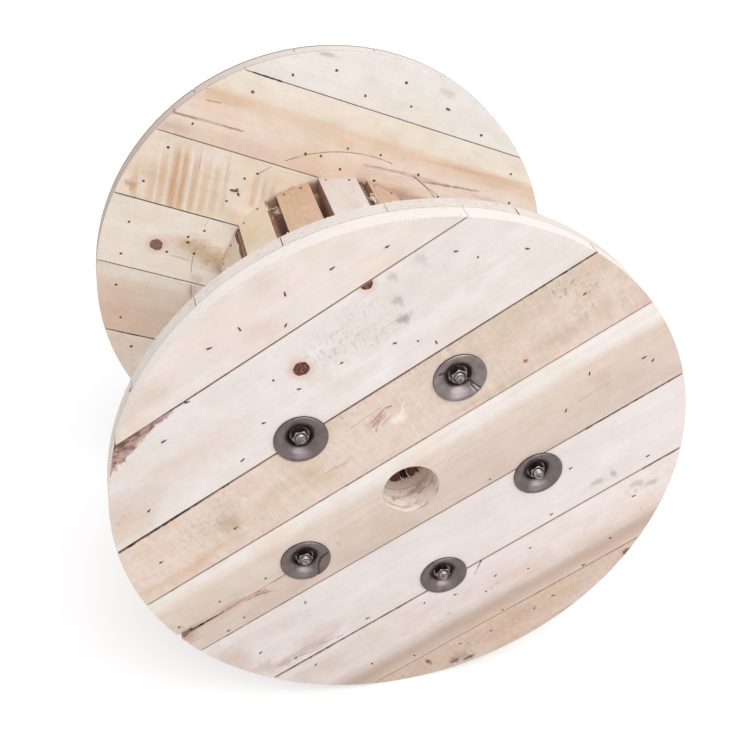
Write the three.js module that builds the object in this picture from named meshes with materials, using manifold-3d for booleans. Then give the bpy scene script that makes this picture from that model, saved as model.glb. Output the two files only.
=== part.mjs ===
// Wooden cable drum, lying on the rims of its two flanges.
//
// Each flange is a disc of two plies of sawn planks, nailed together crosswise. A barrel of
// fifteen staves stands between the flanges, on a round former at each end. Five long bolts
// pull the flanges together through the wider gaps between the staves, and each bolt has a
// pressed dish washer at both ends, sunk into the wood.
//
// Units are millimetres, +Z up. The drum is drawn in its own frame with its axis along z, the
// front flange at the +z end, x to the right and y up, and is then laid down so that the front
// flange faces -Y. The origin is the middle of the ground line between the two rims.

import * as THREE from 'three';
import { mergeVertices } from 'three/addons/utils/BufferGeometryUtils.js';
import Module from 'manifold-3d';

const wasm = await Module();
wasm.setup();

// ---------------------------------------------------------------- driving dimensions

const FLANGE_RADIUS = 400;
const SEAT = 0.3;                    // gap left between faces that rest on each other
const INNER_WIDTH = 542;             // winding width between the flanges
const PLANK_GAP = 1.4;               // how far a joint between two planks usually stands open
const PLANK_EDGE = 0.7;              // eased edge of the outer planks
const RIM_STEPS = 132;               // facets round a whole rim
const ARBOR_RADIUS = 40;

// Each ply: how thick its planks are, which way they run, in degrees above +x, and the joints
// between them, from the lowest up. A joint is a line across the whole flange, given by its height
// over the middle of the ply at the left rim and at the right rim, and by how far it stands open
// at each end.
const joint = (left, right, openLeft = PLANK_GAP, openRight = PLANK_GAP) => (
  { left, right, openLeft, openRight }
);
const PLIES = [
  {
    name: 'front_outer',
    thick: 26,
    run: 28.9,
    joints: [
      joint(-321, -321, 1.1, 1.1),
      joint(-195, -192, 3, 1.8),
      joint(-66.5, -66.5, 1.2, 2.2),
      joint(60.5, 69.5, 1.6, 1),
      joint(163, 182, 3.2, 1.6),
      joint(301, 321.5, 2.6, 1.1),
    ],
  },
  {
    name: 'front_inner',
    thick: 22,
    run: -61.1,
    joints: [joint(-324, -324), joint(-202, -200), joint(-76, -77), joint(47, 46), joint(168, 169),
      joint(297, 297)],
  },
  {
    name: 'rear_inner',
    thick: 18,
    run: -22.3,
    joints: [joint(-318, -318), joint(-189, -193, 2, 1.4), joint(-63, -69), joint(60.5, 54, 2.2, 1.2),
      joint(180.5, 176), joint(308.5, 315)],
  },
  {
    name: 'rear_outer',
    thick: 18,
    run: 67.7,
    joints: [joint(-316, -315), joint(-190, -190), joint(-64, -66), joint(61, 62), joint(186, 184),
      joint(314, 314)],
  },
];

// Faults in the planks, in their ply's own frame. The wane is the sloping bark edge of the log
// along a plank's upper edge: it starts from the line between two points on the face. The split
// runs in from the rim, and narrows as it goes.
const WANE = { plank: 'front_outer_plank_6', from: [-166, 305], to: [-306, 265], slope: 26 };
const SPLIT = {
  plank: 'front_outer_plank_4',
  outline: [[-405, -15], [-372, -19], [-322, -21], [-322, -22], [-374, -24], [-405, -27]],
  depth: 14,
};

const STAVES_PER_BOLT = 3;
const STAVE_PITCH = 24;              // degrees from stave to stave
const STAVE_SEAT = 171.5;            // from the axis to the underside of a stave
const STAVE_EDGE = 0.8;
// The staves were sawn by eye: width and thickness of each, clockwise from the first bolt, and
// how many degrees it lies off its even place.
const STAVES = [
  { width: 62, thick: 24, drift: -0.4 },
  { width: 62, thick: 20, drift: 0.6 },
  { width: 60, thick: 22, drift: -0.4 },
  { width: 59, thick: 21, drift: 0.5 },
  { width: 66, thick: 19, drift: -0.3 },
  { width: 57, thick: 21, drift: 0.4 },
  { width: 61, thick: 20, drift: 0 },
  { width: 64, thick: 22, drift: 0.7 },
  { width: 58, thick: 20, drift: -0.6 },
  { width: 60, thick: 21, drift: 0.8 },
  { width: 63, thick: 20, drift: -0.5 },
  { width: 67, thick: 19, drift: -0.3 },
  { width: 60.5, thick: 22, drift: -0.3 },
  { width: 58.5, thick: 18, drift: -0.2 },
  { width: 66, thick: 23, drift: -0.7 },
];

const FORMER_THICK = 18;
const FORMER_JOINTS = [-52, 60];     // the former is of three planks
const FORMER_GROOVE = { width: 1.2, depth: 4 };

const BOLT_CIRCLE = 184;             // radius
const FIRST_BOLT = 19.4;             // degrees clockwise from the top
const BOLT_RADIUS = 6;               // M12
const BOLT_CHAMFER = 1.1;
const BOLT_HOLE_RADIUS = 7;
const HEX_FLATS = 19;
const NUT_HEIGHT = 10;
const HEAD_HEIGHT = 7.5;
const HEX_BEVEL = 1.2;               // height of the cone that rounds a hexagon's corners
const HEAD_TURN = 17;                // degrees from a nut to its bolt's head
// The bolt holes were bored by hand. For each bolt: how far its thread end stands out beyond the
// flange face, how far its nut stands turned, in degrees, and how far the hole lies off its even
// place, to the right and up.
const BOLTS = [
  { standsOut: 4, turn: 8, off: [-0.8, 1] },
  { standsOut: 9, turn: 2, off: [-0.3, -1.2] },
  { standsOut: 6, turn: 21, off: [0.6, 0] },
  { standsOut: 5, turn: 40, off: [0.8, 4] },
  { standsOut: 5, turn: 33, off: [-0.9, 1.6] },
];

const WASHER_RADIUS = 35.5;
const WASHER_CREST = 3.2;            // highest ring, above the wood
const CUP_RADIUS = 13.2;
const CUP_DEPTH = 11;                // floor of the cup, below the wood's face
const SHEET = 2;                     // thickness of the pressed steel
const RECESS_CLEARANCE = 1.4;        // the wood stands off the washer's cup by this much

const BOLT_SIDES = 16;
const WASHER_SIDES = 20;
const HEX_CONE_SIDES = 12;
const ARBOR_SIDES = 32;
const FORMER_SIDES = 60;

// ---------------------------------------------------------------- materials

const paint = (color, roughness, metalness = 0) =>
  new THREE.MeshStandardMaterial({ color, roughness, metalness });

const PALE_SPRUCE = [0xe9d6c0, 0xefe0d0, 0xe3c9b2, 0xecdccb, 0xe6cfb8, 0xeadac6, 0xe4ccb4];
const STAVE_TONES = [0xb98a5a, 0xd9bd97, 0xe6d6c2];
const steel = paint(0x6d6460, 0.5, 0.8);
const boltSteel = paint(0xb9b4ad, 0.35, 0.9);

// ---------------------------------------------------------------- solids and booleans

const radians = THREE.MathUtils.degToRad;

function toManifold(geometry) {
  const bare = geometry.clone();
  bare.deleteAttribute('normal');
  bare.deleteAttribute('uv');
  const merged = mergeVertices(bare, 1e-4);
  return new wasm.Manifold(new wasm.Mesh({
    numProp: 3,
    vertProperties: new Float32Array(merged.attributes.position.array),
    triVerts: new Uint32Array(merged.index.array),
  }));
}

function toGeometry(solid) {
  const { vertProperties, triVerts, numProp } = solid.getMesh();
  const geometry = new THREE.BufferGeometry();
  const points = new Float32Array((vertProperties.length / numProp) * 3);
  for (let i = 0; i < points.length / 3; i += 1) {
    points.set(vertProperties.subarray(i * numProp, i * numProp + 3), i * 3);
  }
  geometry.setAttribute('position', new THREE.BufferAttribute(points, 3));
  geometry.setIndex(new THREE.BufferAttribute(new Uint32Array(triVerts), 1));
  geometry.computeVertexNormals();
  return geometry;
}

function cut(geometry, ...tools) {
  return toGeometry(tools.reduce((left, tool) => left.subtract(toManifold(tool)), toManifold(geometry)));
}

function join(...geometries) {
  const solids = geometries.map(toManifold);
  return toGeometry(solids.reduce((all, solid) => all.add(solid)));
}

// A turned solid about the z axis, from a profile of [radius, z] pairs that starts and ends on
// the axis or closes on itself. Its faces point out when the profile runs anticlockwise.
function turned(profile, sides) {
  const outline = profile.map(([radius, z]) => new THREE.Vector2(radius, z));
  if (THREE.ShapeUtils.isClockWise(outline)) outline.reverse();
  return new THREE.LatheGeometry(outline, sides).rotateX(Math.PI / 2);
}

// A cylinder about the z axis from z0 to z1.
function rod(radius, z0, z1, sides) {
  return new THREE.CylinderGeometry(radius, radius, z1 - z0, sides)
    .rotateX(Math.PI / 2)
    .translate(0, 0, (z0 + z1) / 2);
}

// ---------------------------------------------------------------- where things lie

const THICK = Object.fromEntries(PLIES.map(({ name, thick }) => [name, thick]));
const FRONT_FACE = INNER_WIDTH / 2 + THICK.front_inner + SEAT + THICK.front_outer;
const REAR_FACE = -INNER_WIDTH / 2 - THICK.rear_inner - SEAT - THICK.rear_outer;
const LAYERS = {                                 // lower z of each ply
  front_outer: FRONT_FACE - THICK.front_outer,
  front_inner: INNER_WIDTH / 2,
  rear_inner: -INNER_WIDTH / 2 - THICK.rear_inner,
  rear_outer: REAR_FACE,
};

// Where a bolt lies. The circle is counted clockwise from the top, seen from in front.
function boltPlace(index) {
  const clock = radians(FIRST_BOLT + (index * 360) / BOLTS.length);
  const even = new THREE.Vector2(BOLT_CIRCLE * Math.sin(clock), BOLT_CIRCLE * Math.cos(clock));
  return even.add(new THREE.Vector2(...BOLTS[index].off));
}

// ---------------------------------------------------------------- washers and bolts

// The washer's section in two runs, both outwards from its hole, with z measured from the wood's
// face: the side that is seen, and the side that lies in the wood.
const WASHER_SEEN = [
  [BOLT_RADIUS + 0.8, -CUP_DEPTH],
  [CUP_RADIUS - 1, -CUP_DEPTH],
  [CUP_RADIUS + 0.8, -CUP_DEPTH + 3.8],
  [CUP_RADIUS + 3.8, -CUP_DEPTH + 7.4],
  [27, 1.4],
  [WASHER_RADIUS - 2.7, WASHER_CREST],
  [WASHER_RADIUS, SEAT],
];
const WASHER_UNDER = [
  [BOLT_RADIUS + 0.8, -CUP_DEPTH - SHEET],
  [CUP_RADIUS + 1.2, -CUP_DEPTH - SHEET],
  [CUP_RADIUS + 4.6, -CUP_DEPTH + 5.4],
  [29, -0.1],
  [WASHER_RADIUS - SHEET, SEAT],
];

function washerGeometry() {
  const section = [...WASHER_SEEN, ...WASHER_UNDER.toReversed()];
  return turned([...section, section[0]], WASHER_SIDES);
}

// The seat bored in the wood for a washer: the washer's underside, opened out a little.
function recessGeometry() {
  const seat = WASHER_UNDER.filter(([, z]) => z < 0)
    .map(([radius, z]) => [radius + RECESS_CLEARANCE, z - SEAT]);
  const [mouth] = seat.at(-1);
  const floor = seat[0][1];
  return turned([[0, floor], ...seat, [mouth + 1, 1], [0, 1]], WASHER_SIDES);
}

// A hexagon with both ends coned off at the corners, standing on z = 0.
function hexagon(height) {
  const corner = HEX_FLATS / Math.sqrt(3);
  const prism = new THREE.CylinderGeometry(corner, corner, height, 6).rotateX(Math.PI / 2)
    .translate(0, 0, height / 2);
  const face = (HEX_FLATS / 2) * 0.96;
  const cone = turned([
    [0, 0],
    [face, 0],
    [corner + 0.2, HEX_BEVEL],
    [corner + 0.2, height - HEX_BEVEL],
    [face, height],
    [0, height],
  ], HEX_CONE_SIDES);
  return toGeometry(toManifold(prism).intersect(toManifold(cone)));
}

// The bolt with its head in the rear washer and its nut in the front one.
function boltGeometry({ standsOut, turn }) {
  const top = FRONT_FACE + standsOut;
  const nutSeat = FRONT_FACE - CUP_DEPTH + SEAT;
  const headSeat = REAR_FACE + CUP_DEPTH - SEAT;
  const shank = turned([
    [0, headSeat - HEAD_HEIGHT / 2],
    [BOLT_RADIUS, headSeat - HEAD_HEIGHT / 2],
    [BOLT_RADIUS, top - BOLT_CHAMFER],
    [BOLT_RADIUS - BOLT_CHAMFER, top],
    [0, top],
  ], BOLT_SIDES);
  const nut = hexagon(NUT_HEIGHT).rotateZ(radians(turn)).translate(0, 0, nutSeat);
  const head = hexagon(HEAD_HEIGHT).rotateZ(radians(turn + HEAD_TURN))
    .translate(0, 0, headSeat - HEAD_HEIGHT);
  return join(shank, nut, head);
}

// ---------------------------------------------------------------- planks

// The two angles at which a joint's line, moved up by half its opening, or down if side is -1,
// leaves the rim: at the right, and at the left.
function rimAngles({ left, right, openLeft, openRight }, side) {
  const atLeft = left + (side * openLeft) / 2;
  const atRight = right + (side * openRight) / 2;
  const slope = (atRight - atLeft) / (2 * FLANGE_RADIUS);
  const lift = Math.atan(slope);
  const distance = ((atLeft + atRight) / 2) * Math.cos(lift);
  const reach = Math.asin(distance / FLANGE_RADIUS);
  return { right: reach + lift, left: Math.PI - reach + lift };
}

function rimArc(from, to) {
  const steps = Math.max(2, Math.round(((to - from) / (2 * Math.PI)) * RIM_STEPS));
  return Array.from({ length: steps + 1 }, (_, i) => {
    const angle = from + ((to - from) * i) / steps;
    return new THREE.Vector2(FLANGE_RADIUS * Math.cos(angle), FLANGE_RADIUS * Math.sin(angle));
  });
}

// A plank's outline in its ply: u along the plank, v across, cut round by the rim. The first
// plank has no joint below it and the last has none above.
function plankShape(below, above) {
  if (!below) {
    const top = rimAngles(above, -1);
    return new THREE.Shape(rimArc(top.left, top.right + 2 * Math.PI));
  }
  const bottom = rimAngles(below, 1);
  if (!above) return new THREE.Shape(rimArc(bottom.right, bottom.left));
  const top = rimAngles(above, -1);
  return new THREE.Shape([...rimArc(bottom.right, top.right), ...rimArc(top.left, bottom.left)]);
}

function plankBlank(shape, thick, edge) {
  if (edge === 0) return new THREE.ExtrudeGeometry(shape, { depth: thick, bevelEnabled: false });
  return new THREE.ExtrudeGeometry(shape, {
    depth: thick - 2 * edge,
    bevelEnabled: true,
    bevelThickness: edge,
    bevelSize: edge,
    bevelOffset: -edge,
    bevelSegments: 1,
  }).translate(0, 0, edge);
}

// Everything that is bored through one plank, in its ply's own turned frame.
function boresOf({ name, thick, run }, low, high) {
  const bores = [];
  const reaches = (across, radius) => across + radius > low && across - radius < high;
  if (reaches(0, ARBOR_RADIUS)) bores.push(rod(ARBOR_RADIUS, -1, thick + 1, ARBOR_SIDES));
  BOLTS.forEach((_, index) => {
    const centre = boltPlace(index).rotateAround(new THREE.Vector2(), -radians(run));
    if (!reaches(centre.y, WASHER_RADIUS)) return;
    bores.push(rod(BOLT_HOLE_RADIUS, -1, thick + 1, BOLT_SIDES).translate(centre.x, centre.y, 0));
    const recess = recessGeometry();
    if (name === 'front_outer') bores.push(recess.translate(centre.x, centre.y, thick));
    if (name === 'rear_outer') bores.push(recess.rotateX(Math.PI).translate(centre.x, centre.y, 0));
  });
  return bores;
}

// The wood that the wane takes away: a block that lies on the sloping bark.
function waneGeometry(thick) {
  const [from, to] = [WANE.from, WANE.to].map(([u, v]) => new THREE.Vector2(u, v));
  const along = to.clone().sub(from);
  const [length, width, height] = [1.4 * along.length(), 120, 80];
  return new THREE.BoxGeometry(length, width, height)
    .translate(length / 2, -width / 2, height / 2)
    .rotateX(radians(WANE.slope))
    .rotateZ(along.angle())
    .translate(from.x, from.y, thick);
}

function splitGeometry(thick) {
  const outline = SPLIT.outline.map(([u, v]) => new THREE.Vector2(u, v));
  return new THREE.ExtrudeGeometry(new THREE.Shape(outline), { depth: thick, bevelEnabled: false })
    .translate(0, 0, thick - SPLIT.depth);
}

function faultsOf(plankName, thick) {
  const faults = [];
  if (plankName === WANE.plank) faults.push(waneGeometry(thick));
  if (plankName === SPLIT.plank) faults.push(splitGeometry(thick));
  return faults;
}

function addPly(layer, parent) {
  const { name, thick, run, joints } = layer;
  const ply = new THREE.Group();
  ply.rotation.z = radians(run);
  ply.position.z = LAYERS[name];
  const edge = name.endsWith('outer') ? PLANK_EDGE : 0;
  for (let i = 0; i <= joints.length; i += 1) {
    const [below, above] = [joints[i - 1], joints[i]];
    const low = below ? Math.min(below.left, below.right) : -FLANGE_RADIUS;
    const high = above ? Math.max(above.left, above.right) : FLANGE_RADIUS;
    const plankName = `${name}_plank_${i + 1}`;
    const blank = plankBlank(plankShape(below, above), thick, edge);
    const cutters = [...boresOf(layer, low, high), ...faultsOf(plankName, thick)];
    const plank = new THREE.Mesh(cut(blank, ...cutters), paint(PALE_SPRUCE[i], 0.8));
    plank.name = plankName;
    ply.add(plank);
  }
  parent.add(ply);
}

// ---------------------------------------------------------------- barrel

// A stave lies along z with its underside on y = STAVE_SEAT, its two upper edges eased.
function staveGeometry(width, thick) {
  const half = width / 2;
  const low = STAVE_SEAT;
  const high = STAVE_SEAT + thick;
  const section = new THREE.Shape([
    new THREE.Vector2(-half, low),
    new THREE.Vector2(half, low),
    new THREE.Vector2(half, high - STAVE_EDGE),
    new THREE.Vector2(half - STAVE_EDGE, high),
    new THREE.Vector2(-half + STAVE_EDGE, high),
    new THREE.Vector2(-half, high - STAVE_EDGE),
  ]);
  const length = INNER_WIDTH - 2 * SEAT;
  return new THREE.ExtrudeGeometry(section, { depth: length, bevelEnabled: false })
    .translate(0, 0, -length / 2);
}

function addStaves(parent) {
  const firstStave = FIRST_BOLT + STAVE_PITCH / 2;
  STAVES.forEach(({ width, thick, drift }, index) => {
    const stave = new THREE.Mesh(
      staveGeometry(width, thick),
      paint(STAVE_TONES[index % STAVES_PER_BOLT], 0.85),
    );
    stave.name = `stave_${String(index + 1).padStart(2, '0')}`;
    stave.rotation.z = -radians(firstStave + index * STAVE_PITCH + drift);
    parent.add(stave);
  });
}

// A round former of three planks, its joints cut into both faces.
function formerGeometry() {
  const disc = rod(STAVE_SEAT - SEAT, 0, FORMER_THICK, FORMER_SIDES);
  const grooves = FORMER_JOINTS.flatMap((across) => [0, FORMER_THICK].map((z) => (
    new THREE.BoxGeometry(2.2 * STAVE_SEAT, FORMER_GROOVE.width, 2 * FORMER_GROOVE.depth)
      .translate(0, across, z)
  )));
  return cut(disc, rod(ARBOR_RADIUS, -1, FORMER_THICK + 1, ARBOR_SIDES), ...grooves);
}

function addFormers(parent) {
  const ends = [
    { name: 'front_former', z: INNER_WIDTH / 2 - SEAT - FORMER_THICK, run: 12 },
    { name: 'rear_former', z: -INNER_WIDTH / 2 + SEAT, run: -47 },
  ];
  ends.forEach(({ name, z, run }) => {
    const former = new THREE.Mesh(formerGeometry(), paint(0xd8b48c, 0.85));
    former.name = name;
    former.position.z = z;
    former.rotation.z = radians(run);
    parent.add(former);
  });
}

// ---------------------------------------------------------------- fastenings

function addFastenings(parent) {
  BOLTS.forEach((sizes, index) => {
    const place = boltPlace(index);
    const bolt = new THREE.Mesh(boltGeometry(sizes), boltSteel);
    bolt.name = `bolt_${index + 1}`;
    bolt.position.set(place.x, place.y, 0);
    const front = new THREE.Mesh(washerGeometry(), steel);
    front.name = `front_washer_${index + 1}`;
    front.position.set(place.x, place.y, FRONT_FACE);
    const rear = new THREE.Mesh(washerGeometry(), steel);
    rear.name = `rear_washer_${index + 1}`;
    rear.rotation.x = Math.PI;
    rear.position.set(place.x, place.y, REAR_FACE);
    parent.add(bolt, front, rear);
  });
}

// ---------------------------------------------------------------- the drum

const drum = new THREE.Group();
PLIES.forEach((ply) => addPly(ply, drum));
addStaves(drum);
addFormers(drum);
addFastenings(drum);

// Laid on its rims, with its length centred over the origin.
const frontReach = FRONT_FACE + Math.max(...BOLTS.map(({ standsOut }) => standsOut));
const rearReach = REAR_FACE - WASHER_CREST;
drum.rotation.x = Math.PI / 2;
drum.position.set(0, (frontReach + rearReach) / 2, FLANGE_RADIUS);

const part = new THREE.Group();
part.add(drum);

export default part;
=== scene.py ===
"""Finish for a wooden cable drum: sawn boards, pressed dish washers, tie bolts, clinched nails and torn
fibres.

Sizes in the tables are in millimetres, as a drum maker would give them; everything that reaches Blender is in
metres. The drum lies on its rims: its front flange faces -Y, and its axis is level at flange radius above the
floor. A ply's own frame has u along its boards and v across them, both from the drum's axis, seen from the
front.
"""

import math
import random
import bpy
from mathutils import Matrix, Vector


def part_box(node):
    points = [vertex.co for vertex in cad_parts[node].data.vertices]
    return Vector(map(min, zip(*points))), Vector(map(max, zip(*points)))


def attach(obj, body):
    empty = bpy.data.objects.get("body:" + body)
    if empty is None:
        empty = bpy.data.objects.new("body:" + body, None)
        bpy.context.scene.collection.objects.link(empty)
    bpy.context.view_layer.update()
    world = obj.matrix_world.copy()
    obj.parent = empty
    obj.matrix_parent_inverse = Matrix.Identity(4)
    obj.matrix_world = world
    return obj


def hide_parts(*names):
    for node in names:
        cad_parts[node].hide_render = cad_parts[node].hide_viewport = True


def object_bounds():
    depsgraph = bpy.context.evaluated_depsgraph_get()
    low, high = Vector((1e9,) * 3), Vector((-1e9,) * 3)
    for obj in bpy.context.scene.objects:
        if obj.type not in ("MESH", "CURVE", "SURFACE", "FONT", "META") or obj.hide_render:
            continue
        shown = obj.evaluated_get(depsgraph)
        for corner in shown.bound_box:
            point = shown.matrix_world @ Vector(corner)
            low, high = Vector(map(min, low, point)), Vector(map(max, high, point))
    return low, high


bl_info = {
    "name": "Cable Drum Finish",
    "version": (1, 0, 0),
    "blender": (4, 5, 0),
    "location": "3D View > Sidebar > Cable Drum",
    "description": "Finishes a nailed wooden cable drum: its boards, washers, bolts, nails and torn fibres",
    "category": "Object",
}

import bpy
from mathutils import Matrix, Vector

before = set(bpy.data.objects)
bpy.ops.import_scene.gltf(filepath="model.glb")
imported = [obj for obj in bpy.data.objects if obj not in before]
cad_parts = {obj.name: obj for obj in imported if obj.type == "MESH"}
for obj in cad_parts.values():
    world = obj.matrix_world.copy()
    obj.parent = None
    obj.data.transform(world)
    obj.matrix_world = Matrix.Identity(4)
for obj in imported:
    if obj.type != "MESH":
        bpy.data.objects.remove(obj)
cad_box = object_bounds()

MM = 0.001

# ------------------------------------------------------------------ where things are, from the frame

FRONT_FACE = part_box("front_outer_plank_4")[0].y     # outer face of the front flange
FRONT_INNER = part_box("front_inner_plank_4")[1].y    # the flange's face on the winding side
REAR_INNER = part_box("rear_inner_plank_4")[0].y
REAR_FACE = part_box("rear_outer_plank_4")[1].y
AXIS_HEIGHT = (cad_box[0].z + cad_box[1].z) / 2
RIM_RADIUS = (cad_box[1].z - cad_box[0].z) / 2
BORE_RADIUS = 40 * MM
WASHER_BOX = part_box("front_washer_1")

# How far each ply's boards run above +x, in degrees.
RUNS = {"front_outer": 28.9, "front_inner": -61.1, "rear_inner": -22.3, "rear_outer": 67.7}
FORMER_RUNS = {"front_former": 12.0, "rear_former": -47.0}
PLY_DEPTH = {
    "front_outer": FRONT_FACE,
    "front_inner": FRONT_INNER,
    "rear_inner": REAR_INNER,
    "rear_outer": REAR_FACE,
}
# The joints of the two seen plies: height over the ply's middle at its left rim and at its right one.
JOINTS = {
    "front_outer": [(-321, -321), (-195, -192), (-66.5, -66.5), (60.5, 69.5), (163, 182), (301, 321.5)],
    "rear_inner": [(-318, -318), (-189, -193), (-63, -69), (60.5, 54), (180.5, 176), (308.5, 315)],
}
BOLT_COUNT = 5
STAVE_COUNT = 15
PLANK_COUNT = 7
PLANK_SPACING = 126                                 # mean width of a plank

# ------------------------------------------------------------------ what each board looks like

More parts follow.
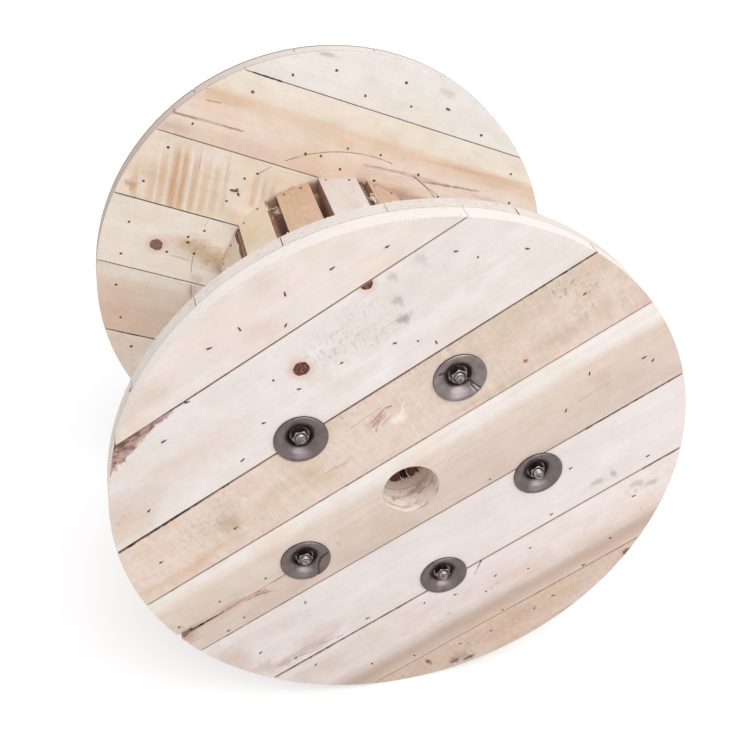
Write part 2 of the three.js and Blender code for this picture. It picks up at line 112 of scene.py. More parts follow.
# tone: the board's own colour, and drift: the one it changes to in patches. bands: colours across the board
# instead, as (v, tone). fade: how light it is at its left and right ends. rough: how furry and scratched the
# saw left it. pith: where the log's centre lay, as v and depth behind the face. rings: ring width and
# contrast. saw: pitch of the saw marks and how plain they are. knots: (u, v, radius), and how plain if it
# isn't fully so. stains: (u, v, half length, half height, tone, strength). specks: mould flecks, as (u, v,
# half length, half height, strength). marks: straight lines, as (u, v, u, v, width, tone, strength). stripes:
# what a rubbing saw leaves across a board, as (u, lowest v, highest v, width, tone, strength). blotch: how
# patchy its tone is, 1 if not given. wane: whether it keeps a bark edge.
BOARDS = {
    "front_outer_plank_1": dict(
        tone="#dac5b6", drift="#d5bcaa", fade=(0.89, 1.04), rough=1.1, pith=(-300, 60), rings=(4.2, 0.12),
        saw=(9, 1.5),
        knots=[(211, -338, 7.5, 0.75)],
        stains=[(-146, -341, 6, 12, "bark", 0.75), (-112, -370, 12, 8, "bark", 0.75),
                (-90, -379, 14, 6, "bark", 0.9), (-100, -366, 26, 16, "bark", 0.3),
                (0, -392, 90, 5, "amber", 0.3), (90, -390, 40, 6, "bark", 0.25),
                (60, -345, 120, 26, "amber", 0.08)],
        specks=[(-60, -350, 60, 26, 0.5), (60, -350, 100, 24, 0.45), (210, -312, 60, 30, 0.4)]),
    "front_outer_plank_2": dict(
        bands=[(-324, "#dac5b6"), (-312, "#cfb9aa"), (-300, "#c4aea1"), (-290, "#c6b1a5"), (-279, "#d6c7bd"),
               (-264, "#e3d7d0"), (-190, "#e9ded9")],
        fade=(0.91, 1.09), rough=0.4, pith=(-200, 90), rings=(5, 0.06), saw=(6, 0.3),
        marks=[(-3, -214, 22, -192, 1.6, "dirt", 0.75), (8, -203, 20, -193, 2.2, "dirt", 0.5)],
        specks=[(268, -222, 34, 20, 0.5), (262, -262, 16, 18, 0.4), (10, -255, 22, 12, 0.6)],
        stains=[(272, -214, 14, 9, "grey_stain", 0.45), (292, -228, 14, 8, "grey_stain", 0.5),
                (60, -262, 70, 20, "amber", 0.22), (170, -268, 60, 20, "amber", 0.2),
                (-280, -225, 70, 26, "tan_stain", 0.3), (150, -300, 90, 12, "amber", 0.18),
                (-10, -302, 60, 10, "amber", 0.15), (-70, -262, 8, 6, "grey_stain", 0.35)]),
    "front_outer_plank_3": dict(
        blotch=0.35, tone="#e7dcd6", drift="#eae1dd", fade=(0.95, 1.04), rough=0.25, pith=(-120, 130),
        rings=(6, 0.04), saw=(5, 0.15),
        marks=[(-300, -177, -270, -186, 3, "rust_stain", 0.5),
               (-262, -178, -216, -187, 4, "rust_stain", 0.3)],
        stains=[(-270, -176, 60, 16, "rust_stain", 0.42), (-318, -178, 18, 10, "rust_stain", 0.4),
                (-345, -165, 26, 22, "rust_stain", 0.28), (-372, -120, 40, 50, "tan_stain", 0.45),
                (-240, -160, 60, 20, "tan_stain", 0.3), (224, -170, 14, 9, "grey_stain", 0.5),
                (249, -172, 6, 12, "grey_stain", 0.6), (-300, -100, 90, 24, "tan_stain", 0.15)]),
    "front_outer_plank_4": dict(
        bands=[(-70, "#d9c7ba"), (-10, "#dccbbe"), (28, "#e0d0c2"), (36, "#e6d9ce"), (46, "#f0e7e0"),
               (72, "#f1e9e2")],
        fade=(0.96, 1.03), rough=0.3, pith=(-20, 100), rings=(5, 0.1), saw=(6, 0.2),
        marks=[(-392, -15, -345, -16, 2.4, "rust_stain", 0.45),
               (-345, -16, -290, -14, 1.6, "rust_stain", 0.45), (-408, -20.5, -388, -21, 11, "split", 1.0),
               (-398, -21, -374, -21.3, 8, "split", 1.0), (-384, -21.3, -356, -22, 5, "split", 0.95),
               (-362, -22, -338, -22.6, 2.4, "split", 0.85), (-350, -23, -300, -22, 2.6, "rust_stain", 0.9),
               (-305, -22, -258, -21, 2.3, "rust_stain", 0.9), (-330, -19, -280, -18, 1.7, "rust_stain", 0.8),
               (-290, -25, -262, -27, 2, "rust_stain", 0.8), (-262, -20, -208, -19, 2, "rust_stain", 0.7),
               (-240, -21, -205, -20, 1.3, "dirt", 0.5), (-272, -24, -250, -33, 1.8, "rust_stain", 0.7),
               (-270, -20, -250, -26, 1.8, "knot", 0.5), (-262, -31, -244, -35, 1.4, "rust_stain", 0.6),
               (-400, -43, -372, -42, 1.8, "rust_stain", 0.5), (-395, -8, -382, -7, 2, "rust_stain", 0.5),
               (250, -14, 305, -13, 1.4, "tan_stain", 0.6), (230, -18, 270, -16, 1.2, "tan_stain", 0.4),
               (-140, 20, 120, 12, 3, "tan_stain", 0.2), (60, 3, 240, 6, 2.4, "tan_stain", 0.22)],
        stains=[(-262, -28, 15, 8, "rust_stain", 0.45), (-335, -24, 70, 12, "tan_stain", 0.4),
                (-394, -30, 20, 14, "rust_stain", 0.4), (-385, -24, 22, 18, "rust_stain", 0.3),
                (295, -2, 20, 26, "tan_stain", 0.25), (-128, -18, 3, 8, "tan_stain", 0.4)],
        specks=[(-127, -18, 8, 12, 0.6)]),
    "front_outer_plank_5": dict(
        blotch=1.3, tone="#e4d1c3", drift="#dfcbbb", fade=(1.0, 1.0), rough=1.0, pith=(115, 70),
        rings=(4.5, 0.05), saw=(11, 1.7),
        knots=[(219, 92, 2.8, 0.7)],
        marks=[(-24, 143, 36, 148, 1.4, "rust_stain", 0.5), (10, 134, 36, 143, 3.5, "rust_stain", 0.6),
               (8, 126, 30, 138, 3, "rust_stain", 0.55), (8, 116, 22, 132, 3, "rust_stain", 0.5),
               (36, 143, 46, 141, 3.2, "bark", 0.6), (12, 122, 40, 132, 1.6, "white_wood", 0.7),
               (52, 126, 62, 138, 2, "white_wood", 0.8), (42, 118, 56, 128, 3, "white_wood", 0.8)],
        stains=[(20, 130, 22, 13, "rust_stain", 0.35), (44, 116, 17, 11, "white_wood", 0.75),
                (-222, 112, 22, 22, "rust_stain", 0.3), (-330, 78, 80, 14, "amber", 0.3),
                (-250, 84, 60, 12, "amber", 0.2), (60, 104, 26, 14, "olive", 0.18),
                (335, 100, 16, 24, "olive", 0.3), (270, 96, 50, 18, "tan_stain", 0.35),
                (-90, 92, 50, 14, "amber", 0.18), (-60, 100, 30, 4, "rust_stain", 0.25),
                (150, 76, 60, 8, "tan_stain", 0.3), (-225, 168, 34, 5, "dirt", 0.3),
                (190, 120, 150, 60, "olive", 0.12)],
        specks=[(305, 160, 44, 24, 0.9), (330, 138, 30, 16, 0.7), (315, 112, 30, 28, 0.5),
                (-230, 130, 110, 40, 0.4), (-210, 158, 40, 12, 0.5), (0, 165, 60, 10, 0.35),
                (110, 172, 120, 8, 0.45)]),
    "front_outer_plank_6": dict(
        blotch=0.6, tone="#e9dfd9", drift="#eee7e3", fade=(0.97, 1.02), rough=0.3, pith=(330, 120),
        rings=(6, 0.04), saw=(6, 0.12), wane=True,
        knots=[(-18, 260, 10.5), (104, 312.5, 8, 1.0)],
        specks=[(30, 262, 70, 46, 0.45), (85, 285, 50, 30, 0.3), (80, 245, 40, 30, 0.4),
                (-330, 208, 34, 12, 0.5), (120, 245, 34, 14, 0.5)],
        stains=[(118, 244, 12, 10, "grey_stain", 0.75), (124, 270, 9, 11, "grey_stain", 0.5),
                (134, 302, 8, 10, "grey_stain", 0.4), (172, 302, 9, 13, "grey_stain", 0.3),
                (60, 250, 70, 34, "olive", 0.14), (200, 245, 50, 26, "olive", 0.16),
                (-6, 236, 26, 22, "amber", 0.16), (-20, 262, 18, 18, "rust_stain", 0.14),
                (-325, 190, 60, 30, "amber", 0.22), (-335, 225, 60, 40, "tan_stain", 0.14),
                (-282, 266, 44, 24, "amber", 0.14), (-290, 215, 60, 30, "tan_stain", 0.2),
                (-190, 240, 90, 30, "olive", 0.1), (10, 206, 60, 20, "amber", 0.1)]),
    "front_outer_plank_7": dict(
        tone="#ecdfd5", drift="#eae0da", fade=(0.97, 1.02), rough=0.3, pith=(420, 60), rings=(5, 0.05),
        saw=(6, 0.15),
        stains=[(-200, 330, 70, 20, "amber", 0.16), (-180, 345, 40, 16, "olive", 0.14),
                (-30, 330, 30, 20, "amber", 0.12)]),
    # The rear inner boards take lighter tones than the front ones, partly as painted light that makes up for
    # the shade that the front flange and the barrel cast on the winding side.
    "rear_inner_plank_7": dict(
        blotch=0.4, tone="#f3f0e9", drift="#f2ebe4", fade=(1.0, 1.0), rough=0.3, pith=(420, 60),
        rings=(5, 0.04), saw=(6, 0.15),
        stains=[(75, 375, 22, 10, "grey_stain", 0.3), (-150, 372, 40, 6, "grey_stain", 0.5),
                (200, 335, 30, 14, "olive", 0.1)]),
    "rear_inner_plank_6": dict(
        bands=[(176, "#ead3c0"), (200, "#edd8c7"), (216, "#f2e2d4"), (236, "#f3e3d5"), (252, "#efdbc7"),
               (266, "#eed8c2"), (276, "#f5ebdc"), (292, "#f5eddf"), (318, "#f7efe4")],
        fade=(0.99, 1.01), rough=0.3, pith=(240, 25), rings=(4.6, 0.08), saw=(14, 0.12),
        marks=[(-350, 213, -226, 217, 5.5, "rust_stain", 0.42), (-352, 213, -300, 214.5, 3.2, "knot", 0.5),
               (-262, 216, -224, 217, 3, "knot", 0.5), (-298, 247, -272, 249.5, 2.8, "rust_stain", 0.6),
               (-20, 222, 40, 226, 7, "rust_stain", 0.3), (-5, 224, 60, 228, 2.2, "bark", 0.35),
               (30, 227, 150, 229, 8, "rust_stain", 0.25), (90, 223, 164, 232, 4.5, "rust_stain", 0.4),
               (150, 231, 204, 236.5, 5, "rust_stain", 0.4), (100, 224.5, 196, 235.5, 2, "bark", 0.4),
               (70, 229.5, 134, 206.5, 1.6, "dirt", 0.6), (40, 256, 290, 274, 6, "amber", 0.2)],
        stains=[(-250, 296, 60, 24, "olive", 0.14), (-270, 262, 60, 16, "amber", 0.2),
                (-290, 255, 60, 12, "amber", 0.12), (200, 262, 110, 14, "amber", 0.28),
                (60, 190, 90, 14, "rust_stain", 0.45), (20, 214, 60, 10, "tan_stain", 0.2),
                (230, 225, 60, 8, "tan_stain", 0.3), (-330, 190, 40, 16, "rust_stain", 0.2)]),
    "rear_inner_plank_5": dict(
        tone="#efe1cf", drift="#f4eadf", rough=0.5, pith=(150, 90), rings=(5, 0.04), saw=(10, 0.6),
        stripes=[(-345, 52, 134, 26, "amber", 0.38), (-371, 52, 116, 18, "amber", 0.5),
                 (-330, 54, 160, 14, "amber", 0.42), (-311, 52, 176, 17, "amber", 0.84),
                 (-297, 54, 176, 13, "amber", 0.76), (-279, 56, 170, 13, "amber", 0.5),
                 (-261, 60, 160, 15, "amber", 0.34), (-243, 62, 165, 15, "amber", 0.35),
                 (-226, 70, 165, 10, "tan_stain", 0.34), (-178, 92, 172, 14, "amber", 0.42),
                 (-163, 92, 165, 9, "tan_stain", 0.42), (-148, 96, 165, 8, "amber", 0.25),
                 (-287, 54, 176, 5, "white_wood", 0.9), (-305, 98, 178, 4, "white_wood", 0.7),
                 (-338, 56, 170, 5, "white_wood", 0.85), (-322, 62, 176, 3.4, "white_wood", 0.6),
                 (-270, 62, 170, 4, "white_wood", 0.7), (-366, 58, 130, 4, "white_wood", 0.6),
                 (-252, 66, 160, 3.6, "white_wood", 0.5), (-170, 92, 165, 4, "white_wood", 0.6),
                 (-275, 128, 186, 2.6, "grey_stain", 0.67), (-256, 118, 184, 2.6, "grey_stain", 0.42),
                 (-229, 120, 190, 2.8, "grey_stain", 0.59)],
        stains=[(-374, 80, 14, 12, "amber", 0.7), (-310, 105, 80, 44, "amber", 0.2)]),
    "rear_inner_plank_4": dict(
        blotch=0.6, tone="#f5ede2", drift="#f2e9dd", fade=(0.98, 1.0), rough=0.3, pith=(40, 110),
        rings=(6, 0.05), saw=(6, 0.15),
        knots=[(-308, -11, 11, 0.85)],
        marks=[(-244, -14, -238, -48, 1.4, "dirt", 0.7), (-237, 56, -240, 42, 1.2, "dirt", 0.35)],
        stains=[(-205, -14, 42, 26, "olive", 0.75), (-248, 2, 36, 24, "olive", 0.6),
                (-226, -8, 60, 30, "olive", 0.4), (-278, 0, 30, 20, "amber", 0.2),
                (-196, -24, 6, 12, "tan_stain", 0.7), (-225, -56, 16, 12, "rust_stain", 0.25),
                (-262, -24, 30, 3, "rust_stain", 0.35)],
        specks=[(-240, 4, 36, 24, 0.7), (-215, -14, 30, 20, 0.6)]),
    "rear_inner_plank_3": dict(
        bands=[(-192, "#e1cebf"), (-165, "#dfc8b6"), (-140, "#dfcbb9"), (-120, "#e3d1c1"), (-95, "#e5d7c8"),
               (-80, "#ebe1d7"), (-60, "#ede3da")],
        rough=0.4, pith=(-130, 50), rings=(5, 0.12), saw=(5, 0.2),
        marks=[(-232, -68, -225, -92, 2.0, "dirt", 0.7), (-225, -92, -216, -110, 1.6, "dirt", 0.6)],
        stains=[(-225, -85, 14, 30, "rust_stain", 0.3)]),
    "rear_inner_plank_2": dict(tone="#eee1d5", drift="#e5d4c3", rough=0.4, rings=(5, 0.08), saw=(5, 0.2)),
}
# Boards that are not named above take these tones in turn.
PLAIN_TONES = ["#e3d3c6", "#dac4b0", "#e9dfd7", "#dfccb9", "#e6dad1", "#dcc6b3", "#d6c0ae"]

# Dirt along the joints of the seen plies, by joint: from and to along the board, width and strength.
SEAMS = {
    "front_outer": [
        [(-240, -10, 1.0, 0.25), (0, 250, 1.5, 0.55)],
        [(-360, -75, 3.0, 0.95), (-330, -240, 5, 0.3), (20, 300, 1.8, 0.7), (285, 350, 4.5, 0.6),
         (-75, 30, 1.5, 0.5)],
        [(-400, -200, 1.8, 0.6), (-200, 230, 1.4, 0.5), (225, 395, 2.8, 0.9)],
        [(-400, 90, 1.8, 0.7), (90, 400, 1.2, 0.5)],
        [(-380, -225, 4.2, 1.0), (-240, -175, 3.0, 1.0), (-200, -110, 2.0, 0.7), (-45, 240, 3.4, 0.4),
         (-45, 240, 1.2, 0.5), (225, 375, 2.6, 0.95)],
        [(-270, -165, 2.8, 1.0), (-170, -90, 2.2, 0.9), (-100, 70, 1.6, 0.7), (60, 245, 1.1, 0.45)],
    ],
    "rear_inner": [
        [(-300, 300, 1.5, 0.4)],
        [(-355, -200, 2.6, 1.0)],
        [(-400, -200, 2.0, 0.7)],
        [(-400, -180, 2.2, 0.8)],
        [(-360, 0, 1.8, 0.5)],
        [(-243, -190, 3.4, 0.9), (-240, 250, 1.6, 0.6)],
    ],
}

# Staves clockwise from the first: own tone, the one it drifts to, and how rough it is.
STAVE_TONES = [
    ("#caae97", "#cfb7a2", 0.5), ("#e3d3c2", "#dac4b0", 0.4), ("#e6d6bd", "#dfccb9", 0.4),
    ("#dfc2a6", "#d6c0ae", 0.5), ("#e9dfd7", "#e3d3c6", 0.3), ("#dac4b0", "#d2b79f", 0.5),
    ("#e9dfd7", "#e6dad1", 0.3), ("#dfccb9", "#d6c0ae", 0.5), ("#e2c5ab", "#dcc6b3", 0.4),
    ("#e6dad1", "#e9dfd7", 0.3), ("#e6d6bd", "#dfc2a6", 0.4), ("#e6d5c6", "#e0cdbd", 0.4),
    ("#eadac2", "#e7d6bd", 0.15), ("#d5b69d", "#d8bda5", 0.9), ("#dfd5cf", "#dcd2cd", 0.12),
]

# ------------------------------------------------------------------ nails

# Nails of the front flange: where each comes out of its outer face, in that ply's frame, how much of its
# point lies clinched along the wood, and which way it was turned over.
FRONT_NAILS = [
    (-90, 351, 9, -15), (-47, 351, 8, 90), (20, 358, 8, 70), (81, 354, 9, 3), (147, 340, 7, -5),
    (-1, 323, 7, 35), (-154, 305, 9, -20), (-210, 275, 9, 0), (-54, 267, 4, 80), (-36, 237, 7, -25),
    (26, 237, 5, -10), (-98, 221, 7, -15), (93, 221, 7, -20), (118, 206, 3, 90), (136, 190, 7, 85),
    (211, 287, 7, -30), (230, 264, 3, 0), (285, 238, 7, -40), (-290, 197, 8, 15), (-151, 189, 9, 15),
    (-332, 114, 8, 0), (-222, 99, 8, 0), (322, 136, 7, 10), (-388, -4, 6, 5), (-316, -1, 4, 20),
    (-242, -7, 5, 10), (-340, -59, 7, 0), (-308, -52, 5, 60), (283, 18, 8, 65), (355, -6, 9, 0),
    (364, -18, 7, 35), (233, -18, 8, 50), (97, -58, 3, 0), (-225, -87, 7, 80), (-332, -132, 8, 15),
    (-299, -180, 7, 15), (-172, -181, 9, -5), (200, -118, 7, 0), (143, -181, 7, 0), (303, -174, 8, 0),
    (-284, -215, 6, 30), (-89, -214, 5, 40), (-44, -231, 7, -5), (23, -238, 7, 10), (90, -222, 5, 0),
    (259, -234, 8, -10), (-3, -259, 4, 60), (70, -260, 4, -60), (-217, -277, 7, 90), (199, -291, 6, 0),
    (-157, -309, 6, -50), (0, -316, 5, 0), (143, -316, 9, 5), (-87, -338, 5, -50), (-35, -347, 6, -50),
    (42, -351, 7, 60), (78, -345, 8, -20), (-147, -336, 7, -15),
]
# A nail driven into the front rim: degrees clockwise from the top, and millimetres behind the face.
RIM_NAIL = (-60, 30.5)
# Nails of the rear flange: where each head lies on the winding side, in that ply's frame.
REAR_NAILS = [
    (-116, 353), (-180, 325), (-57, 330), (0, 370), (23, 337), (160, 329), (-307, 205), (243, 282),
    (-53, 240), (-118, 211), (-92, 215), (5, 246), (82, 233), (11, 201), (-53, 203), (132, 206), (-333, 157),
    (-183, 156), (-201, 142), (-218, 96), (-356, 92), (-361, 17), (-238, 35), (-261, 17), (-259, 7),
    (-243, -10), (-360, -42), (-288, -19), (-354, -101), (-332, -161), (-300, -214),
]
# Nails that bent over as they were driven: where, and which way each arm lies.
BENT_NAILS = [(85, 352, 10, -8), (-232, 281, 7, 0), (-232, 281, 5, 80), (-212, 117, 17, 4),
              (-208, 119.5, 8, 50), (-203, 113, 8, -50)]
# The flange's two nailing rings, for the part of the rear flange that was laid out by the same pattern.
NAIL_RINGS = [(240, 11, 68, 215), (356, 13, 62, 222)]
STAVE_NAIL_INSET = 9
STUB = 4                             # a point no longer than this is a stub, and thicker for its length

# ------------------------------------------------------------------ small helpers


def linear(code):
    """An sRGB hex colour as linear RGBA."""
    parts = [int(code[i:i + 2], 16) / 255 for i in (1, 3, 5)]
    return [c / 12.92 if c <= 0.04045 else ((c + 0.055) / 1.055) ** 2.4 for c in parts] + [1.0]


def add(tree, kind, *values, take=0, **settings):
    """Add a node, and give one of its outputs, or the node if take is None. kind can name an operation, as in
    "Math.ADD". Values fill the sockets in their order, and a dict fills the sockets that it names."""
    kind, _, operation = kind.partition(".")
    node = tree.nodes.new(kind if kind.startswith("NodeGroup") else "ShaderNode" + kind)
    if operation:
        node.operation = operation
    for name, value in settings.items():
        setattr(node, name, value)
    inputs = values[0] if values and isinstance(values[0], dict) else dict(enumerate(values))
    for key, value in inputs.items():
        if isinstance(value, bpy.types.NodeSocket):
            tree.links.new(value, node.inputs[key])
        else:
            node.inputs[key].default_value = value
    return node if take is None else node.outputs[take]


def set_stops(ramp, stops):
    """Give a new colour ramp these stops, as (position, colour)."""
    for _ in stops[2:]:
        ramp.elements.new(0.5)
    for element, (position, tone) in zip(ramp.elements, stops):
        element.position, element.color = position, tone


def turned(angle, axis):
    return Matrix.Rotation(angle, 4, axis)


def sized(along, across, up):
    return Matrix.Diagonal((along, across, up, 1))


def directions(angle):
    """Unit vectors in the flanges' plane: one at this angle above +x, and the one a quarter turn further."""
    return (math.cos(angle), 0, math.sin(angle)), (-math.sin(angle), 0, math.cos(angle))


def new_material(name):
    """A material without nodes, and its tree."""
    material = bpy.data.materials.new(name)
    material.use_nodes = True
    tree = material.node_tree
    tree.nodes.clear()
    return material, tree


def finish_material(tree, **sockets):
    """Put a Principled shader on the material's output, and give it. Underscores stand for the spaces in
    socket names."""
    inputs = {key.replace("_", " "): value for key, value in sockets.items()}
    shader = add(tree, "BsdfPrincipled", inputs, take=None)
    add(tree, "OutputMaterial", {"Surface": shader.outputs[0]}, take=None)
    return shader


def clear_selection():
    if bpy.context.mode != "OBJECT":
        bpy.ops.object.mode_set(mode="OBJECT")
    bpy.ops.object.select_all(action="DESELECT")


def choose(*pieces):
    """Select only these pieces, the first one active."""
    clear_selection()
    for piece in pieces:
        piece.select_set(True)
    bpy.context.view_layer.objects.active = pieces[0]


def start(name, primitive, **settings):
    """Add one primitive alone, put its place and turn into its mesh, and name it."""
    clear_selection()
    getattr(bpy.ops.mesh, f"primitive_{primitive}_add")(**settings)
    bpy.ops.object.transform_apply(location=True, rotation=True, scale=False)
    piece = bpy.context.object
    piece.name = piece.data.name = name
    return piece


def pick(piece, part, test):
    """Go to edit mode with only the faces, edges or vertices selected that pass the test on their middle and
    normal."""
    choose(piece)
    bpy.ops.object.mode_set(mode="EDIT")
    bpy.ops.mesh.select_mode(type={"polygons": "FACE", "edges": "EDGE", "vertices": "VERT"}[part])
    bpy.ops.mesh.select_all(action="DESELECT")
    bpy.ops.object.mode_set(mode="OBJECT")
    points = piece.data.vertices
    for item in getattr(piece.data, part):
        if part == "vertices":
            item.select = test(item.co, item.normal)
        elif part == "edges":
            a, b = (points[i] for i in item.vertices)
            item.select = test((a.co + b.co) / 2, (a.normal + b.normal) / 2)
        else:
            item.select = test(item.center, item.normal)
    bpy.ops.object.mode_set(mode="EDIT")


def all_selected(piece):
    choose(piece)
    bpy.ops.object.mode_set(mode="EDIT")
    bpy.ops.mesh.select_mode(type="VERT")
    bpy.ops.mesh.select_all(action="SELECT")


def leave_edit():
    bpy.ops.object.mode_set(mode="OBJECT")


def on_picked(piece, part, test, operator, **settings):
    """Run one operator on the faces, edges or vertices that pass a test, and leave edit mode."""
    pick(piece, part, test)
    operator(**settings)
    leave_edit()


def apply_modifier(piece, kind, **settings):
    choose(piece)
    modifier = piece.modifiers.new(kind.title(), kind)
    for name, value in settings.items():
        setattr(modifier, name, value)
    bpy.ops.object.modifier_apply(modifier=modifier.name)


def copy_of(piece, name, matrix=Matrix.Identity(4)):
    """A copy with its own mesh, with its place in the mesh."""
    twin = piece.copy()
    twin.data = piece.data.copy()
    twin.name = twin.data.name = name
    bpy.context.collection.objects.link(twin)
    twin.data.transform(matrix)
    return twin


def remove(*pieces):
    for piece in pieces:
        bpy.data.meshes.remove(piece.data)


def joined(name, pieces):
    """Join pieces into one mesh."""
    choose(*pieces)
    if len(pieces) > 1:
        bpy.ops.object.join()
    piece = bpy.context.object
    piece.name = piece.data.name = name
    return piece


def smooth(piece, degrees):
    choose(piece)
    bpy.ops.object.shade_smooth_by_angle(angle=math.radians(degrees))


def dress(piece, slot, *materials):
    """Give a finished piece its materials, and let it ride on the drum."""
    if materials:
        piece.data.materials.clear()
        for material in materials:
            piece.data.materials.append(material)
    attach(piece, "root")


def on_face(u, v, run, depth, outward):
    """Matrix that stands a model, with +Z out of the wood, at a point of a ply. outward is -1 for a face
    towards -Y and 1 for one towards +Y."""
    turn = math.radians(run)
    x = (u * math.cos(turn) - v * math.sin(turn)) * MM
    z = (u * math.sin(turn) + v * math.cos(turn)) * MM + AXIS_HEIGHT
    return Matrix.Translation((x, depth, z)) @ turned(-outward * math.pi / 2, "X")


def on_barrel(clock, radius, y):
    """Matrix that stands a model on the barrel, with +Z away from the axis and +Y along it."""
    place = Vector((radius * math.sin(clock), y, AXIS_HEIGHT + radius * math.cos(clock)))
    return Matrix.Translation(place) @ turned(clock, "Y")


def stave_place(number):
    """A stave's direction from the axis, clockwise from the top, its outer surface's distance and its half
    width."""
    points = [v.co - Vector((0, 0, AXIS_HEIGHT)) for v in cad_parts[f"stave_{number:02d}"].data.vertices]
    middle = sum(points, Vector()) / len(points)
    clock = math.atan2(middle.x, middle.z)
    side, out = (Vector(way) for way in directions(-clock))
    return clock, max(p.dot(out) for p in points), max(p.dot(side) for p in points)


# ------------------------------------------------------------------ settings


def colour(name, text, code):
    return bpy.props.FloatVectorProperty(
        name=name, description=text, subtype="COLOR", size=4, min=0, max=1, default=linear(code))


def length(name, text, metres):
    return bpy.props.FloatProperty(
        name=name, description=text, unit="LENGTH", min=0, default=metres, precision=5)


class DrumWoodSettings(bpy.types.PropertyGroup):
    """Marks and cut surfaces of the sawn boards."""

    amber: colour("Amber", "Resin and burnt saw marks", "#cb9a6c")
    tan_stain: colour("Tan stain", "Faint brown patches of heartwood", "#c3a591")
    rust_stain: colour("Rust stain", "Red-brown streaks round knots and splits", "#a0705a")
    olive: colour("Olive", "Damp stain", "#ceb18a")
    grey_stain: colour("Grey stain", "Mould in pale sapwood", "#a39b97")
    fleck: colour("Fleck", "Fine grey-green flecks of mould", "#9c927c")
    white_wood: colour("White wood", "Freshly torn pale wood", "#f4ebe4")
    knot: colour("Knot", "Red-brown heart of a knot", "#93624f")
    bark: colour("Bark", "Bark and dirt left on an edge", "#6b4434")
    # Painted shade: the dark inside of an open split.
    split: colour("Split", "Dark inside of an open split", "#4a211b")
    dirt: colour("Dirt", "Dark dust packed into joints and splits", "#46342b")
    late_wood: colour("Late wood", "Multiplies a board's tone in the dark part of each ring", "#d9b491")
    rim: colour("Rim", "Bleached, furry fibres where the flange was sawn round", "#f3e9e0")
    rim_speck: colour("Rim specks", "Shadowed tufts in the sawn rim", "#b5a59b")
    # Near white: painted light that keeps the hole's wall bright where it lies in shade.
    bore: colour("Bore", "Wall of the arbor hole", "#fff0e6")
    plank_edge: colour("Plank edge", "Long edges of the boards, browned by dust", "#c4ac9b")
    # Painted shade: the dark inside of the barrel.
    inside: colour("Inside", "Faces inside the barrel, tanned by damp", "#e9c4ad")
    fibre_width: length("Fibre width",
                        "Width of the finest streaks, drawn coarser than real fibres so that they show",
                        1.3 * MM)
    relief: length("Relief", "Height of the sawn surface's roughness", 0.45 * MM)


class DrumNailSettings(bpy.types.PropertyGroup):
    """Nails of the flanges and the staves."""

    head: length("Head", "Diameter of a nail's head", 5.4 * MM)
    wire: length("Wire", "Thickness of a nail", 2.1 * MM)
    proud: length("Proud", "How far a head stands above the wood", 0.25 * MM)
    steel: colour("Steel", "Dull nail steel", "#67544a")
    rust: colour("Rust", "Rust and dust on the nails", "#4b3529")


class DrumWasherSettings(bpy.types.PropertyGroup):
    """Pressed dish washers."""

    radius: length("Radius", "Radius of the washer's rim", (WASHER_BOX[1].x - WASHER_BOX[0].x) / 2)
    sheet: length("Sheet", "Thickness of the pressed steel", 2 * MM)
    steps: bpy.props.IntProperty(
        name="Steps", description="Segments round the washer", default=144, min=48, max=288)
    steel: colour("Steel", "Oiled dark steel", "#685c5b")
    # Also the tone all over the one washer that is painted lighter, as painted light.
    worn: colour("Worn steel", "The same steel where it was rubbed", "#776c68")
    # Painted as shade besides black scale: on the steep cup wall, at the rim's edge and in the bottoms of
    # creases.
    oxide_and_shade: colour("Oxide", "Black scale in creases and on the cut rim", "#3e3431")


class DrumBoltSettings(bpy.types.PropertyGroup):
    """Tie bolts, their heads and nuts."""

    radius: length("Radius", "Radius over the thread", 6 * MM)
    pitch: length("Pitch", "Height of one turn of the thread, coarse for this bolt", 1.75 * MM)
    flats: length("Across flats", "Width of the nut across its flats", 19 * MM)
    nut: length("Nut height", "Height of the nut", 10 * MM)
    head: length("Head height", "Height of the bolt's head", 7.5 * MM)
    # Also painted on the chamfers of the nuts and heads, as wear and as a painted highlight.
    zinc: colour("Zinc", "Bright worn zinc on thread ends and chamfers", "#a09995")
    dulled: colour("Dulled zinc", "Zinc in the shelter of the cup, gone dark", "#57493f")


class DrumStageSettings(bpy.types.PropertyGroup):
    """Floor and light."""

    floor: colour("Floor", "Pale floor", "#d6d5d4")
    lift: bpy.props.FloatProperty(
        name="Floor lift", description="How much the floor glows to the eye, so that it ends near white",
        default=0.38, min=0, max=1)
    sky: bpy.props.FloatProperty(name="Sky", description="Strength of the even light from all round",
                                 default=0.84, min=0, max=2)
    sun: bpy.props.FloatProperty(name="Key", description="Strength of the broad key light from above",
                                 default=1.38, min=0, max=10)
    card: bpy.props.FloatProperty(
        name="Card", description="Power of the low card that only gloss shows", unit="POWER", default=105,
        min=0, max=500)


SETTINGS = {
    "drum_wood": DrumWoodSettings,
    "drum_nails": DrumNailSettings,
    "drum_washers": DrumWasherSettings,
    "drum_bolts": DrumBoltSettings,
    "drum_stage": DrumStageSettings,
}

# ------------------------------------------------------------------ sawn softwood


def group_tree(name, inputs, outputs):
    """A node group with these sockets, as (name, kind): its tree, and its inputs by name."""
    tree = bpy.data.node_groups.new(name, "ShaderNodeTree")
    for direction, sockets in (("INPUT", inputs), ("OUTPUT", outputs)):
        for label, kind in sockets:
            tree.interface.new_socket(name=label, in_out=direction, socket_type="NodeSocket" + kind)
    return tree, add(tree, "NodeGroupInput", take=None).outputs


def use_group(tree, group, inputs):
    """Add a node group with what goes into its sockets, and give its outputs."""
    return add(tree, "Group", inputs, take=None, node_tree=group).outputs


def end_group(tree, **outputs):
    add(tree, "NodeGroupOutput", outputs, take=None)
    return tree


def marking_tree(name, inputs, outputs):
    """A node group for something at Centre on a board: its tree, its inputs, and the way from Centre to
    Point."""
    tree, given = group_tree(name, [("Point", "Vector"), ("Centre", "Vector")] + inputs, outputs)
    return tree, given, add(tree, "VectorMath.SUBTRACT", given["Point"], given["Centre"])


